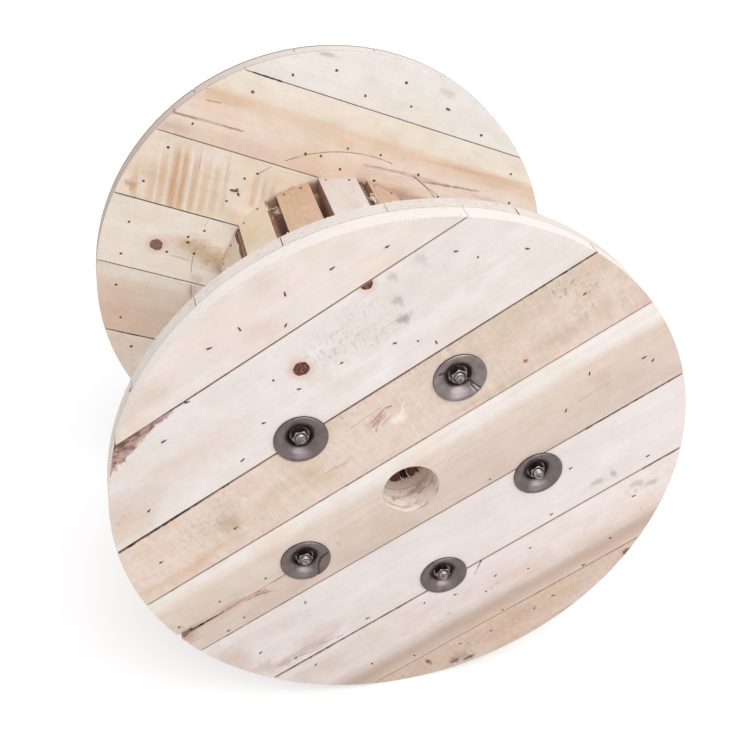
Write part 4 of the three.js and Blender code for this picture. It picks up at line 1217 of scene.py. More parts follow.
def speckled(name, tone, speck, size, low, high):
    """A new material, its tree, where a point is, and a tone with specks of another, which are this size in
    millimetres."""
    material, tree = new_material(name)
    place = add(tree, "TexCoord", take=3)
    noise = add(tree, "TexNoise", {"Vector": place, "Scale": 1 / (size * MM), "Detail": 3.0})
    share = add(tree, "MapRange", noise, low, high)
    return material, tree, place, add(tree, "Mix", {0: share, 6: tone, 7: speck}, take=2, data_type="RGBA")


def washer_steel(name, tone, worn, oxide_and_shade):
    """Deep-drawn mild steel, oiled and gone dark: a satin film over a brown-grey metal, with faint drawing
    marks round the dish and lighter patches where handling rubbed it. Where the sheet stands steep, in the
    cup and at the rim's edge, it is painted near black as shade."""
    material, tree = new_material(name)
    place = add(tree, "TexCoord", take=3)
    cloud = add(tree, "TexNoise", {"Vector": place, "Scale": 1 / (14 * MM), "Detail": 4.0, "Roughness": 0.6})
    grit = add(tree, "TexNoise", {"Vector": place, "Scale": 1 / (1.4 * MM), "Detail": 2.0})
    share = add(tree, "MapRange", cloud, 0.38, 0.66)
    tone = add(tree, "Mix", {0: share, 6: tone, 7: worn}, take=2, data_type="RGBA")
    facing = facing_axis(tree)
    # Painted shade: near black where the sheet stands steep, in the cup and at the rim's edge.
    steep = add(tree, "MapRange", facing, 0.72, 0.5, 0.0, 0.8)
    tone = add(tree, "Mix", {0: steep, 6: tone, 7: oxide_and_shade}, take=2, data_type="RGBA")
    dull = add(tree, "MapRange", cloud, 0.3, 0.7, 0.28, 0.4)
    bump = add(tree, "Bump", {"Height": grit, "Strength": 0.3, "Distance": 0.12 * MM})
    finish_material(tree, Base_Color=tone, Roughness=dull, Normal=bump, Metallic=0.9)
    return material


def crease_scale_and_shade(washers):
    """Scale left from the press, and painted shade: black-brown, dull and rough, in the bottom of a crease
    where nothing rubs it."""
    material, tree = new_material("black mill scale")
    place = add(tree, "TexCoord", take=3)
    grit = add(tree, "TexNoise", {"Vector": place, "Scale": 1 / (1.2 * MM), "Detail": 3.0})
    tone = add(tree, "Mix", {0: grit, 6: washers.oxide_and_shade, 7: linear("#443935")}, take=2, data_type="RGBA")
    finish_material(tree, Base_Color=tone, Roughness=0.6, Metallic=0.3)
    return material


def zinc_steel(name, tone, worn, roughness):
    """Zinc-plated steel: satin grey, darkened by handling, and lighter on the sloping chamfers and thread
    crests, as wear and as a painted highlight."""
    material, tree = new_material(name)
    facing = facing_axis(tree)
    place = add(tree, "TexCoord", take=3)
    # The sloping faces take the lighter tone: wear, and a painted highlight.
    low = add(tree, "MapRange", facing, 0.2, 0.5)
    high = add(tree, "MapRange", facing, 0.985, 0.93)
    rubbed = add(tree, "Math.MULTIPLY", low, high)
    cloud = add(tree, "TexNoise", {"Vector": place, "Scale": 1 / (5 * MM), "Detail": 4.0})
    share = add(tree, "MapRange", cloud, 0.35, 0.65)
    shade = add(tree, "Mix", {0: share, 6: tone, 7: linear("#3b3130")}, take=2, data_type="RGBA")
    shade = add(tree, "Mix", {0: rubbed, 6: shade, 7: worn}, take=2, data_type="RGBA")
    grit = add(tree, "TexNoise", {"Vector": place, "Scale": 1 / (0.9 * MM), "Detail": 2.0})
    bump = add(tree, "Bump", {"Height": grit, "Strength": 0.3, "Distance": 0.1 * MM})
    finish_material(tree, Base_Color=shade, Roughness=roughness, Normal=bump, Metallic=0.85)
    return material


def nail_steel(name, tone, rust):
    """Bright wire nails gone dull and brown in the yard: grey-brown, with specks of rust and dust."""
    material, tree, _, tone = speckled(name, tone, rust, 2.4, 0.42, 0.62)
    finish_material(tree, Base_Color=tone, Roughness=0.65, Metallic=0.3)
    return material


def torn_wood():
    """Torn softwood fibres: paler and furrier than the sawn face, browner in places."""
    material, tree, place, tone = speckled(
        "torn softwood fibre", linear("#f3e9e0"), linear("#cfae97"), 6, 0.48, 0.68)
    fine = add(tree, "TexNoise", {"Vector": place, "Scale": 1 / (0.8 * MM), "Detail": 2.0})
    bump = add(tree, "Bump", {"Height": fine, "Strength": 0.5, "Distance": 0.2 * MM})
    finish_material(tree, Base_Color=tone, Roughness=0.85, Normal=bump, Specular_IOR_Level=0.3)
    return material


# ------------------------------------------------------------------ dish washers

# The washer's seen side, from the rim inwards, as radius and height above the wood.
DISH = [(35.7, 1.4), (35.2, 2.4), (34.3, 3.0), (33, 3.2), (31.2, 2.9), (29.3, 2.2), (27, 1.2), (24.2, 0.0),
        (21.2, -1.8), (18.6, -3.9), (16.6, -6.1), (15.1, -8.3), (13.9, -10.2), (12.6, -11.0), (9.5, -11.0),
        (6.9, -11.0)]

PAINTED_LIGHTER_WASHER = 1                       # the one painted lighter than the others, as painted light
# Creases that the press left in the front washers, by washer: the line of each, as (x, y) on the face, its
# depth and half width, and how far from its line it is painted black, as scale and painted shade.
CREASES = {
    1: [([(14.5, -9), (24, -15.5), (35.5, -21.5)], 1.5, 1.9, 1.5),
        ([(15.5, -13.5), (21, -20), (27.5, -26)], 1.0, 1.5, 0.9),
        ([(-17, 6), (-21, 8), (-27, 9)], 1.8, 2.4, 1.5)],
    3: [([(-28, -16), (-24, -20)], 0.7, 2.0, 0.0)],
    4: [([(36, 15), (27, 5), (21, -4), (18, -14), (17.5, -24), (15, -34)], 2.0, 2.0, 1.2)],
    5: [([(-33, 10), (-29, 14)], 0.6, 2.0, 0.0)],
}


def from_line(line):
    """A function that gives how far a point of the face is from a bent line, in millimetres."""
    ends = [(Vector(a), Vector(b)) for a, b in zip(line, line[1:])]

    def distance(place):
        point = Vector((place.x / MM, place.y / MM))
        best = 1e9
        for a, b in ends:
            share = max(0, min(1, (point - a).dot(b - a) / (b - a).length_squared))
            best = min(best, (point - a.lerp(b, share)).length)
        return best

    return distance


PRESS_STEPS = 5


def press_line(piece, line, depth, half_width, black):
    """Push the sheet in along a line, in steps that narrow towards it, and give its bottom the second
    material."""
    distance = from_line(line)
    for step in range(PRESS_STEPS):
        reach = half_width * (1 - step / PRESS_STEPS)
        on_picked(piece, "vertices", lambda co, _: distance(co) < reach,
                  bpy.ops.transform.translate, value=(0, 0, -depth * MM / PRESS_STEPS))
    if black:
        pick(piece, "polygons", lambda co, _: distance(co) < black)
        piece.active_material_index = 1
        bpy.ops.object.material_slot_assign()
        leave_edit()


def model_washer(washers, steps, finest):
    """One dish: a ring drawn inwards along the section, in rings no further apart than the finest given."""
    dish = start("dish", "circle", vertices=steps, radius=washers.radius, location=(0, 0, 0.2 * MM))
    all_selected(dish)
    radius, height = washers.radius / MM, 0.2
    for last_radius, last_height in DISH:
        parts = max(1, round(math.hypot(last_radius - radius, last_height - height) / finest))
        for part in range(parts, 0, -1):
            rise = (last_height - height) / part
            share = 1 + (last_radius - radius) / part / radius
            bpy.ops.mesh.extrude_region_move(TRANSFORM_OT_translate={"value": (0, 0, rise * MM)})
            height += rise
            bpy.ops.transform.resize(value=(share, share, 1), center_override=(0, 0, height * MM))
            radius *= share
    bpy.ops.mesh.select_all(action="SELECT")
    bpy.ops.mesh.normals_make_consistent(inside=False)
    leave_edit()
    if sum(face.normal.z * face.area for face in dish.data.polygons) < 0:
        all_selected(dish)
        bpy.ops.mesh.flip_normals()
        leave_edit()
    return dish


def make_washers(washers, bolts_at):
    oiled = washer_steel("oiled dark steel", washers.steel, washers.worn, washers.oxide_and_shade)
    painted_lighter = washer_steel("dry dark steel", washers.worn, linear("#8b827e"), washers.oxide_and_shade)
    scale = crease_scale_and_shade(washers)
    for end, depth, outward, steps, finest in (
            ("front", FRONT_FACE, -1, washers.steps, 1.0), ("rear", REAR_FACE, 1, washers.steps // 2, 2.5)):
        dish = model_washer(washers, steps, finest)
        for number, (u, v) in enumerate(bolts_at, start=1):
            piece = copy_of(dish, f"{end}_washer_dish_{number}")
            for material in (painted_lighter if number == PAINTED_LIGHTER_WASHER else oiled, scale):
                piece.data.materials.append(material)
            for crease in CREASES.get(number, []) if end == "front" else []:
                press_line(piece, *crease)
            if end == "front" and number in CREASES:
                all_selected(piece)
                bpy.ops.mesh.vertices_smooth(factor=0.4, repeat=2)
                leave_edit()
            apply_modifier(piece, "SOLIDIFY", thickness=washers.sheet * 0.9, offset=-1, use_even_offset=True)
            piece.data.transform(on_face(u, v, 0, depth, outward))
            smooth(piece, 50)
            dress(piece, "washer")
            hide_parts(f"{end}_washer_{number}")
        remove(dish)


# ------------------------------------------------------------------ tie bolts

BOLT_TURNS = [8, 2, 21, 40, 33]      # how far each nut stands turned, in degrees
NUT_SEAT = 10.7                      # floor of the cup, under the wood's face
THREADED = 26                        # length of thread that is modelled, from the bolt's end


def cut_by(piece, tool, operation):
    apply_modifier(piece, "BOOLEAN", object=tool, operation=operation, solver="EXACT")
    remove(tool)


def model_thread(bolts):
    """A threaded end, its tip at the origin and its body below it: a ridge wound round a core and turned to a
    chamfer."""
    turns = int(THREADED * MM / bolts.pitch)
    ridge = start("thread", "circle", vertices=4, radius=0.86 * bolts.pitch / 2, fill_type="NGON",
                  location=(bolts.radius - 0.72 * MM, 0, -THREADED * MM), rotation=(math.pi / 2, 0, 0))
    on_picked(ridge, "polygons", lambda *_: True, bpy.ops.mesh.delete, type="ONLY_FACE")
    apply_modifier(ridge, "SCREW", axis="Z", angle=2 * math.pi, screw_offset=bolts.pitch, iterations=turns,
                   steps=28, render_steps=28, use_merge_vertices=True, merge_threshold=1e-6)
    all_selected(ridge)
    bpy.ops.mesh.select_all(action="DESELECT")
    bpy.ops.mesh.select_non_manifold(extend=False, use_wire=False, use_boundary=True, use_multi_face=False,
                                     use_non_contiguous=False, use_verts=False)
    bpy.ops.mesh.fill_holes(sides=6)
    bpy.ops.mesh.select_all(action="SELECT")
    bpy.ops.mesh.normals_make_consistent(inside=False)
    leave_edit()
    core = start("core", "cylinder", vertices=28, radius=bolts.radius - 0.95 * MM, depth=(THREADED + 4) * MM,
                 location=(0, 0, -(THREADED + 4) * MM / 2))
    cut_by(ridge, core, "UNION")
    blank = start("blank", "cylinder", vertices=56, radius=bolts.radius - 0.02 * MM,
                  depth=(THREADED + 2) * MM, location=(0, 0, -(THREADED + 2) * MM / 2))
    on_picked(blank, "polygons", lambda _, normal: normal.z > 0.9,
              bpy.ops.mesh.bevel, offset=1.2 * MM, segments=1, affect="EDGES")
    cut_by(ridge, blank, "INTERSECT")
    return ridge


def model_hexagon(name, bolts, height, bored):
    """A hexagon standing on the origin, both ends coned at 30 degrees, and the thread's mouth countersunk if
    it is bored."""
    corner = bolts.flats / math.sqrt(3)
    piece = start(name, "cylinder", vertices=6, radius=corner, depth=height, location=(0, 0, height / 2))
    rise = math.tan(math.radians(30))
    reach = bolts.flats / 2 * 0.97
    out = corner * 1.2
    cone = start("cone", "cylinder", vertices=72, radius=out, depth=height, location=(0, 0, height / 2))
    drop = (out - reach) * rise
    on_picked(cone, "polygons", lambda _, normal: abs(normal.z) > 0.9,
              bpy.ops.transform.resize, value=(reach / out, reach / out, 1),
              center_override=(0, 0, height / 2))
    # The cylinder's wall now leans in to both ends, so a ring is put back at full width below each end.
    on_picked(cone, "edges", lambda co, _: abs(co.z - height / 2) < 0.01 * height,
              bpy.ops.mesh.subdivide, number_cuts=2)
    sixth = height / 6
    on_picked(cone, "vertices", lambda co, _: abs(abs(co.z - height / 2) - sixth) < 0.1 * height,
              bpy.ops.transform.resize, value=(out / reach, out / reach, (height / 2 - drop) / sixth),
              center_override=(0, 0, height / 2))
    cut_by(piece, cone, "INTERSECT")
    if bored:
        sink = start("sink", "cone", vertices=48, radius1=bolts.radius - 1.6 * MM,
                     radius2=bolts.radius + 0.7 * MM, depth=2.3 * MM, location=(0, 0, height - 1.1 * MM))
        cut_by(piece, sink, "DIFFERENCE")
    return piece


def make_bolts(bolts, bolts_at):
    bright = zinc_steel("worn zinc-plated steel", bolts.zinc, bolts.zinc, 0.36)
    dulled = zinc_steel("dulled zinc-plated steel", bolts.dulled, bolts.zinc, 0.45)
    browned = nail_steel("browned bolt shank", linear("#a08474"), linear("#7c6050"))
    thread = model_thread(bolts)
    nut = model_hexagon("nut", bolts, bolts.nut, True)
    head = model_hexagon("head", bolts, bolts.head, False)
    for piece, material in ((thread, bright), (nut, dulled), (head, dulled)):
        piece.data.materials.append(material)
    for number, (u, v) in enumerate(bolts_at, start=1):
        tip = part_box(f"bolt_{number}")[0].y
        front_seat = FRONT_FACE + NUT_SEAT * MM
        rear_seat = REAR_FACE - NUT_SEAT * MM
        turn = turned(math.radians(BOLT_TURNS[number - 1]), "Z")
        shank_from, shank_to = tip + (THREADED - 2) * MM, rear_seat
        shank = start("shank", "cylinder", vertices=32, radius=bolts.radius - 0.15 * MM,
                      depth=shank_to - shank_from)
        shank.data.transform(on_face(u, v, 0, (shank_from + shank_to) / 2, -1))
        shank.data.materials.append(browned)
        parts = [
            shank,
            copy_of(thread, "thread", on_face(u, v, 0, tip, -1)),
            copy_of(nut, "nut", on_face(u, v, 0, front_seat, -1) @ turn),
            copy_of(head, "head", on_face(u, v, 0, rear_seat, 1) @ turn),
        ]
        piece = joined(f"tie_bolt_{number}", parts)
        smooth(piece, 32)
        dress(piece, "bolt")
        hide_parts(f"bolt_{number}")
    remove(thread, nut, head)


# ------------------------------------------------------------------ nails


def model_head(nails):
    """A flat wire-nail head, its edge rounded, sunk so that little of it stands above the wood."""
    head = start("nail_head", "cylinder", vertices=14, radius=nails.head / 2, depth=1.6 * MM,
                 location=(0, 0, nails.proud - 0.8 * MM))
    on_picked(head, "polygons", lambda _, normal: normal.z > 0.9,
              bpy.ops.mesh.bevel, offset=0.35 * MM, segments=2, affect="EDGES")
    smooth(head, 60)
    return head


def model_point(nails):
    """A nail's point turned over along the wood, one unit long: it rises from its hole, bends and lies half
    sunk, with a chisel tip."""
    radius = nails.wire / 2
    point = start("nail_point", "cylinder", vertices=8, radius=radius, depth=1.0,
                  rotation=(0, math.pi / 2, 0))
    on_picked(point, "edges", lambda co, _: abs(co.x) < 0.1, bpy.ops.mesh.subdivide, number_cuts=5)
    for end_x, shift, drop in ((-0.3, 0, 0.55), (-0.45, 0.06, 0.9)):
        on_picked(point, "vertices", lambda co, _: co.x < end_x,
                  bpy.ops.transform.translate, value=(shift, 0, -drop * radius))
    for start_x, share in ((0.1, 0.85), (0.3, 0.75), (0.45, 0.4)):
        on_picked(point, "vertices", lambda co, _: co.x > start_x,
                  bpy.ops.transform.resize, value=(1, share, share), center_override=(0, 0, 0))
    smooth(point, 60)
    return point


def model_sliver():
    """A lifted sliver of wood, one unit long and standing on its root: flat, tapering and bent over at its
    tip."""
    sliver = start("sliver", "cone", vertices=4, radius1=0.12, radius2=0.012, depth=1.0, location=(0, 0, 0.5))
    on_picked(sliver, "edges", lambda co, _: 0.1 < co.z < 0.9, bpy.ops.mesh.subdivide, number_cuts=4)
    all_selected(sliver)
    bpy.ops.transform.resize(value=(1, 0.3, 1), center_override=(0, 0, 0))
    leave_edit()
    for from_height, shift in ((0.3, 0.03), (0.5, 0.06), (0.7, 0.09), (0.9, 0.1)):
        on_picked(sliver, "vertices", lambda co, _: co.z > from_height,
                  bpy.ops.transform.translate, value=(0, shift, 0))
    smooth(sliver, 60)
    return sliver


def rear_nail_places():
    """All the rear flange's nails: the ones that are listed, and the rest of the two nailing
    rings."""
    lot = random.Random(7)
    places = list(REAR_NAILS)
    for radius, count, first, last in NAIL_RINGS:
        for i in range(count):
            clock = first + (last - first) * (i + 0.5) / count + lot.uniform(-4, 4)
            angle = math.radians(90 - clock - RUNS["rear_inner"])
            reach = radius + lot.uniform(-9, 9)
            places.append((reach * math.cos(angle), reach * math.sin(angle)))
    return places


def make_nails(nails):
    lot = random.Random(3)
    steel = nail_steel("dull nail steel", nails.steel, nails.rust)
    rusty = nail_steel("rusty nail steel", linear("#7d5f3c"), linear("#5a3f28"))
    head, point, sliver = model_head(nails), model_point(nails), model_sliver()
    groups = {}
    splinters = []

    def put(group, model, matrix):
        groups.setdefault(group, []).append(copy_of(model, group, matrix))

    def clinch(group, u, v, run, depth, outward, reach, turn):
        place = on_face(u, v, run, depth, outward)
        lie = place @ turned(-outward * math.radians(run + turn), "Z")
        if reach <= STUB:
            put(group, point, lie @ sized(reach * MM, 1.3, 1.1))
        else:
            lean = turned(lot.uniform(-0.06, 0.06), "Y")
            put(group, point, lie @ lean @ sized(reach * MM, 1.15, 1.0))
        for _ in range(3):
            size = lot.uniform(1.6, 3.4) * MM
            root = Matrix.Translation((
                lot.uniform(-0.6, -0.2) * reach * MM, lot.uniform(-1.6, 1.6) * MM, -0.2 * MM))
            lean = turned(lot.uniform(0.9, 1.4) * lot.choice((-1, 1)), "X")
            twist = turned(lot.uniform(-0.5, 0.5), "Z")
            place = lie @ root @ twist @ lean
            splinters.append(copy_of(sliver, "lifted", place @ sized(size * 1.6, size, size)))

    for u, v, reach, turn in FRONT_NAILS:
        clinch("front_nail_points", u, v, RUNS["front_outer"], FRONT_FACE, -1, reach, turn)
        put("front_nail_heads", head, on_face(u, v, RUNS["front_outer"], FRONT_INNER, 1))
    clock, depth = RIM_NAIL
    put("front_nail_heads", head, on_barrel(math.radians(clock), RIM_RADIUS, FRONT_FACE + depth * MM))
    for u, v in rear_nail_places():
        worn = sized(lot.uniform(0.7, 1.1), lot.uniform(0.65, 1), 1)
        put("rear_nail_heads", head, on_face(u, v, RUNS["rear_inner"], REAR_INNER, -1) @ worn)
        clinch("rear_nail_points", u, v, RUNS["rear_inner"], REAR_FACE, 1, lot.uniform(5, 9),
               lot.gauss(90, 25))
    for u, v, reach, turn in BENT_NAILS:
        run = RUNS["rear_inner"]
        lie = on_face(u, v, run, REAR_INNER, -1) @ turned(math.radians(run + turn), "Z")
        put("bent_nails", point, lie @ sized(reach * MM, 1.9, 1.6))
    for number in range(1, STAVE_COUNT + 1):
        clock, radius, half = stave_place(number)
        for y in (FRONT_INNER + STAVE_NAIL_INSET * MM, REAR_INNER - STAVE_NAIL_INSET * MM):
            for side in (-1, 1):
                offset = side * half * lot.uniform(0.42, 0.62)
                back = y + lot.uniform(-2, 2) * MM
                place = on_barrel(clock, radius, back) @ Matrix.Translation((offset, 0, 0))
                put("stave_nail_heads", head, place @ sized(0.85, 0.85, 1))
    for name, pieces in groups.items():
        dress(joined(name, pieces), "bolt", rusty if name == "bent_nails" else steel)
    dress(joined("lifted_fibres", splinters), "plank", torn_wood())
    remove(head, point, sliver)


# ------------------------------------------------------------------ torn edges

# Where fibres were torn along a stave: its number, which edge, how far back, how many and how long.
TORN_SPOTS = [(1, -1, 0.84, 8, 9), (1, -1, 0.88, 8, 7), (13, 1, 0.93, 6, 12), (14, -1, 0.9, 5, 9),
              (12, 1, 0.91, 6, 10), (14, -1, 0.45, 3, 7), (5, 1, 0.3, 3, 8), (9, -1, 0.2, 3, 8),
              # The last spots pack fibres into the slits beside a tie bolt, between staves 6 and 7, so that
              # the gap shows dark: torn fibres that also stand in for shade.
              *((stave, side, share, 34, 8.5)
                for stave, side in ((6, 1), (7, -1)) for share in (0.39, 0.41, 0.43))]
# Where shavings curled up beside a stave: its number, which edge, how far back, how many and how wide.
CURLS = [(1, -1, 0.85, 12, 5.5), (14, -1, 0.91, 3, 5.0), (13, 1, 0.88, 2, 4.0)]


def model_curl():
    """A curled shaving of unit radius: most of a thin ring, its ends closed."""
    curl = start("curl", "torus", major_segments=20, minor_segments=5, major_radius=1.0, minor_radius=0.13)
    all_selected(curl)
    bpy.ops.mesh.bisect(plane_co=(0, -0.55, 0), plane_no=(0.2, 1, 0), use_fill=True, clear_inner=True)
    bpy.ops.mesh.select_all(action="SELECT")
    bpy.ops.mesh.normals_make_consistent(inside=False)
    leave_edit()
    smooth(curl, 60)
    return curl


BORE_TEETH = 150


def make_bore_fibres(sliver, fibre, lot):
    """Short torn teeth round the far edge of the arbor hole, where the borer broke through."""
    spacing = 360 / BORE_TEETH
    for end, outward in (("front", 1), ("rear", -1)):
        low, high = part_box(f"{end}_former")
        edge = high.y if outward > 0 else low.y
        pieces = []
        for i in range(BORE_TEETH):
            clock = math.radians(i * spacing + lot.uniform(-spacing / 2, spacing / 2))
            size = lot.choice((2, 2, 3, 3, 4, 5)) * lot.uniform(0.6, 1.2) * MM
            radius = BORE_RADIUS + lot.uniform(0.0, 0.8) * MM
            place = on_barrel(clock, radius, edge - outward * 1.0 * MM)
            point_out = turned(-outward * math.pi / 2, "X")
            lean = turned(outward * lot.uniform(-0.1, 0.45), "X") @ turned(lot.uniform(-0.5, 0.5), "Y")
            place = place @ point_out @ lean
            pieces.append(copy_of(sliver, "torn", place @ sized(size * 4, size * 1.6, size * 1.15)))
        dress(joined(f"{end}_bore_fibres", pieces), "former", fibre)


def make_stave_fibres(sliver, fibre, lot):
    """Fibres and shavings that the saw left standing between the staves."""
    curl = model_curl()
    pieces = []
    for number, side, share, count, longest in TORN_SPOTS:
        clock, radius, half = stave_place(number)
        for _ in range(count):
            y = FRONT_INNER + (REAR_INNER - FRONT_INNER) * share + lot.uniform(-10, 10) * MM
            size = lot.uniform(0.5, 1) * longest * MM
            sunk = lot.uniform(0.3, 4) * MM
            place = on_barrel(clock, radius - sunk, y) @ Matrix.Translation((side * half, 0, 0))
            lean = turned(side * lot.uniform(0.3, 1.6), "Y") @ turned(lot.uniform(-0.9, 0.9), "X")
            pieces.append(copy_of(sliver, "torn", place @ lean @ sized(size, size * 1.6, size)))
    for number, side, share, count, widest in CURLS:
        clock, radius, half = stave_place(number)
        for _ in range(count):
            y = FRONT_INNER + (REAR_INNER - FRONT_INNER) * share + lot.uniform(-9, 9) * MM
            size = lot.uniform(0.5, 1) * widest * MM
            aside = (side * (half + lot.uniform(-3, 9) * MM), 0, lot.uniform(-4, 2) * MM)
            turn = turned(lot.uniform(0, 6.28), "Z") @ turned(lot.uniform(-0.8, 0.8), "X")
            place = on_barrel(clock, radius, y) @ Matrix.Translation(aside) @ turn
            pieces.append(copy_of(curl, "curl", place @ sized(size, size * 0.8, size)))
    dress(joined("stave_edge_fibres", pieces), "stave", fibre)
    remove(curl)


def make_rim_fibres(sliver, fibre, lot):
    """Tufts along both edges of each flange's rim, where it was sawn round across the grain."""
    edges = {"front": (FRONT_FACE, FRONT_INNER), "rear": (REAR_FACE, REAR_INNER)}
    for end, (face, inner) in edges.items():
        pieces = []
        for y, outward, count in ((inner, math.copysign(1, inner - face), 230),
                                  (face, math.copysign(1, face - inner), 90)):
            for _ in range(count):
                clock = lot.uniform(0, 2 * math.pi)
                size = lot.choice((1.5, 2, 2, 3, 4)) * MM
                place = on_barrel(clock, RIM_RADIUS - 0.6 * MM, y - outward * lot.uniform(0.2, 1.2) * MM)
                lean = turned(-outward * lot.uniform(0.7, 1.5), "X") @ turned(lot.uniform(-0.8, 0.8), "Y")
                pieces.append(copy_of(sliver, "tuft", place @ lean @ sized(size * 2.4, size * 1.4, size)))
        dress(joined(f"{end}_rim_fibres", pieces), "plank", fibre)


def make_torn_edges():
    """All the torn fibres: of the arbor hole, of the staves and of the rims."""
    lot = random.Random(11)
    sliver = model_sliver()
    fibre = bpy.data.materials.get("torn softwood fibre") or torn_wood()
    make_bore_fibres(sliver, fibre, lot)
    make_stave_fibres(sliver, fibre, lot)
    make_rim_fibres(sliver, fibre, lot)
    remove(sliver)


# ------------------------------------------------------------------ operators

# The camera: lens and sensor in millimetres, place in metres, turn in degrees, and shift as a share of the
# render's width.
CAMERA_LENS = 51.31
SENSOR_WIDTH = 36
CAMERA_SHIFT = (-0.0186, 0.1372)
CAMERA_PLACE = (-0.2926, -1.3517, 1.3215)
CAMERA_TURN = (50.88, 0, -13.34)


def bolt_places():
    """Where the bolts are, in millimetres from the axis, right and up, seen from the front."""
    places = []
    for number in range(1, BOLT_COUNT + 1):
        low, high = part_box(f"bolt_{number}")
        middle = (low + high) / 2
        places.append((middle.x / MM, (middle.z - AXIS_HEIGHT) / MM))
    return places


def seen_rays(tree):
    """1 for a ray that the camera sees, straight, in a gloss or through glass, and 0 for one that only brings
    light."""
    path = add(tree, "LightPath", take=None).outputs
    seen = add(tree, "Math.MAXIMUM", path["Is Camera Ray"], path["Is Glossy Ray"])
    return add(tree, "Math.MAXIMUM", seen, path["Is Transmission Ray"])


def aim(lamp, way):
    """Turn a light to shine this way."""
    lamp.rotation_euler = Vector(way).to_track_quat("-Z", "Y").to_euler()


class DRUM_OT_stage(bpy.types.Operator):
    """Lay the floor, and set the light and the camera"""

    bl_idname = "drum.stage"
    bl_label = "Stage"

    def execute(self, context):
        stage = context.scene.drum_stage
        context.scene.view_settings.view_transform = "Standard"
        floor = start("floor", "plane", size=40)
        all_selected(floor)
        bpy.ops.mesh.subdivide(number_cuts=3)
        leave_edit()
        material, tree = new_material("pale painted floor")
        glow = add(tree, "Math.MULTIPLY", seen_rays(tree), stage.lift)
        shader = finish_material(tree, Base_Color=stage.floor, Roughness=0.9, Specular_IOR_Level=0.0)
        light = add(tree, "Emission", {"Color": (1, 1, 1, 1), "Strength": glow})
        output = next(n for n in tree.nodes if n.type == "OUTPUT_MATERIAL")
        both = add(tree, "AddShader", shader.outputs[0], light)
        tree.links.new(both, output.inputs["Surface"])
        floor.data.materials.append(material)

        world = bpy.data.worlds.new("even sky")
        context.scene.world = world
        world.use_nodes = True
        tree = world.node_tree
        tree.nodes.clear()
        seen = seen_rays(tree)
        strength = add(tree, "MapRange", {"Value": seen, "To Min": stage.sky, "To Max": 1.0})
        tone = add(tree, "Mix", {0: seen, 6: linear("#f8f9fd"), 7: (1, 1, 1, 1)}, take=2, data_type="RGBA")
        shell = add(tree, "Background", {"Color": tone, "Strength": strength})
        add(tree, "OutputWorld", {"Surface": shell}, take=None)

        bpy.ops.object.light_add(type="SUN", location=(0.6, -1.2, 3))
        sun = context.object
        sun.name = sun.data.name = "key"
        sun.data.energy = stage.sun
        sun.data.angle = math.radians(50)
        sun.data.color = (1, 1, 1)
        aim(sun, (-0.3, 0.62, -0.8))

        # A low card that only gloss shows: it lights the lower inner slope of each washer.
        bpy.ops.object.light_add(type="AREA", location=(1.2, -4.9, 2.0))
        card = context.object
        card.name = card.data.name = "low_card"
        card.data.shape = "RECTANGLE"
        card.data.size, card.data.size_y = 5.0, 1.8
        card.data.energy = stage.card
        card.data.color = linear("#dfe4ff")[:3]
        card.visible_diffuse = False
        aim(card, Vector((0, -0.3, 0.4)) - card.location)

        camera = bpy.data.cameras.new("camera")
        viewer = bpy.data.objects.new("camera", camera)
        context.collection.objects.link(viewer)
        camera.sensor_width = SENSOR_WIDTH
        camera.lens = CAMERA_LENS
        camera.shift_x, camera.shift_y = CAMERA_SHIFT
        viewer.location = CAMERA_PLACE
        viewer.rotation_euler = [math.radians(angle) for angle in CAMERA_TURN]
        context.scene.camera = viewer
        return {"FINISHED"}


class DRUM_OT_planks(bpy.types.Operator):
    """Finish every plank of the four plies as rough-sawn softwood"""

    bl_idname = "drum.planks"
    bl_label = "Planks"

    def execute(self, context):
        wood = context.scene.drum_wood
        for ply, run in RUNS.items():
            along, across = directions(math.radians(run))
            for number in range(1, PLANK_COUNT + 1):
                name = f"{ply}_plank_{number}"
                plain = PLAIN_TONES[(number * 3 + len(ply)) % len(PLAIN_TONES)]
                drift = PLAIN_TONES[(number * 5) % len(PLAIN_TONES)]
                looks = BOARDS.get(name, dict(tone=plain, drift=drift, rough=0.5))
                looks = dict(looks, marks=looks.get("marks", []) + seams_of(ply, number),
                             scribed=ply == "rear_inner")
                middle = (number - (PLANK_COUNT + 1) / 2) * PLANK_SPACING
                finish_board(name, wood, along, across, PLY_DEPTH[ply], middle, looks)
        return {"FINISHED"}


class DRUM_OT_barrel(bpy.types.Operator):
    """Finish the staves and the two formers"""

    bl_idname = "drum.barrel"
    bl_label = "Staves and formers"

    def execute(self, context):
        wood = context.scene.drum_wood
        for number, (tone, drift, rough) in enumerate(STAVE_TONES, start=1):
            clock, radius, _ = stave_place(number)
            across, out = directions(-clock)
            looks = dict(tone=tone, drift=drift, rough=rough, edges=barrel_edges(out))
            finish_board(f"stave_{number:02d}", wood, (0, 1, 0), across, radius, 0, looks)
        for name, run in FORMER_RUNS.items():
            along, across = directions(math.radians(run))
            inner = (0, -1, 0) if name.startswith("front") else (0, 1, 0)
            looks = dict(tone="#dbb598", drift="#d2ad90", rough=0.6, edges=former_edges(inner))
            finish_board(name, wood, along, across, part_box(name)[0].y, 0, looks)
        return {"FINISHED"}


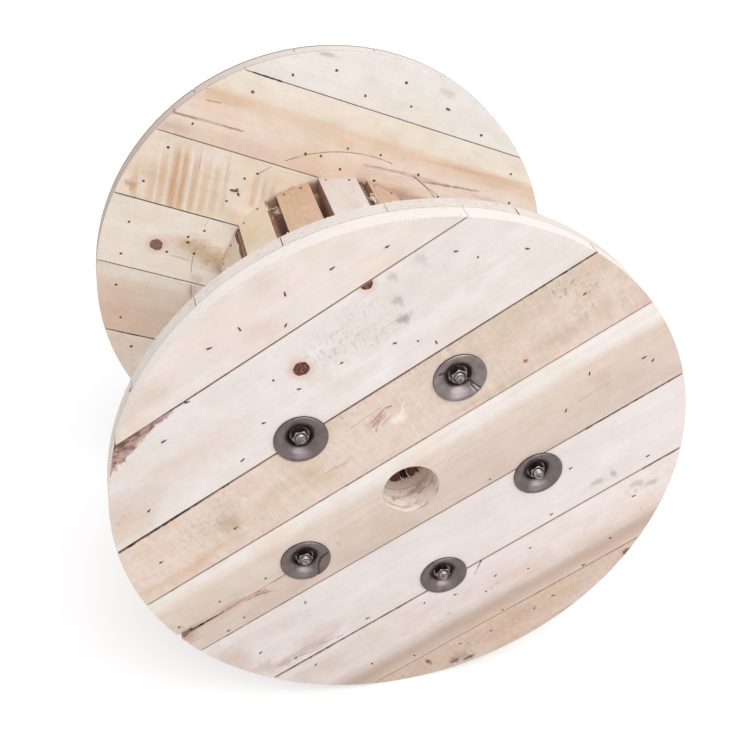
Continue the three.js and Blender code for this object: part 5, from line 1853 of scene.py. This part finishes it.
class DRUM_OT_washers(bpy.types.Operator):
    """Press the ten dish washers"""

    bl_idname = "drum.washers"
    bl_label = "Dish washers"

    def execute(self, context):
        make_washers(context.scene.drum_washers, bolt_places())
        return {"FINISHED"}


class DRUM_OT_bolts(bpy.types.Operator):
    """Make the five tie bolts with their threads, nuts and heads"""

    bl_idname = "drum.bolts"
    bl_label = "Tie bolts"

    def execute(self, context):
        make_bolts(context.scene.drum_bolts, bolt_places())
        return {"FINISHED"}


class DRUM_OT_nails(bpy.types.Operator):
    """Drive and clinch the nails"""

    bl_idname = "drum.nails"
    bl_label = "Nails"

    def execute(self, context):
        make_nails(context.scene.drum_nails)
        return {"FINISHED"}


class DRUM_OT_torn_edges(bpy.types.Operator):
    """Leave torn fibres where the wood was bored and sawn"""

    bl_idname = "drum.torn_edges"
    bl_label = "Torn fibres"

    def execute(self, context):
        make_torn_edges()
        return {"FINISHED"}


OPERATORS = (DRUM_OT_stage, DRUM_OT_planks, DRUM_OT_barrel, DRUM_OT_washers, DRUM_OT_bolts, DRUM_OT_nails,
             DRUM_OT_torn_edges)


class DRUM_PT_finish(bpy.types.Panel):
    bl_label = "Cable Drum"
    bl_idname = "DRUM_PT_finish"
    bl_space_type = "VIEW_3D"
    bl_region_type = "UI"
    bl_category = "Cable Drum"

    def draw(self, context):
        for operator in OPERATORS:
            self.layout.operator(operator.bl_idname)


def register():
    for name, group in SETTINGS.items():
        bpy.utils.register_class(group)
        setattr(bpy.types.Scene, name, bpy.props.PointerProperty(type=group))
    for item in (*OPERATORS, DRUM_PT_finish):
        bpy.utils.register_class(item)


def unregister():
    for item in reversed((*OPERATORS, DRUM_PT_finish)):
        bpy.utils.unregister_class(item)
    for name, group in reversed(SETTINGS.items()):
        delattr(bpy.types.Scene, name)
        bpy.utils.unregister_class(group)


def main():
    register()
    bpy.ops.drum.stage()
    bpy.ops.drum.planks()
    bpy.ops.drum.barrel()
    bpy.ops.drum.washers()
    bpy.ops.drum.bolts()
    bpy.ops.drum.nails()
    bpy.ops.drum.torn_edges()


if __name__ == "__main__":
    main()
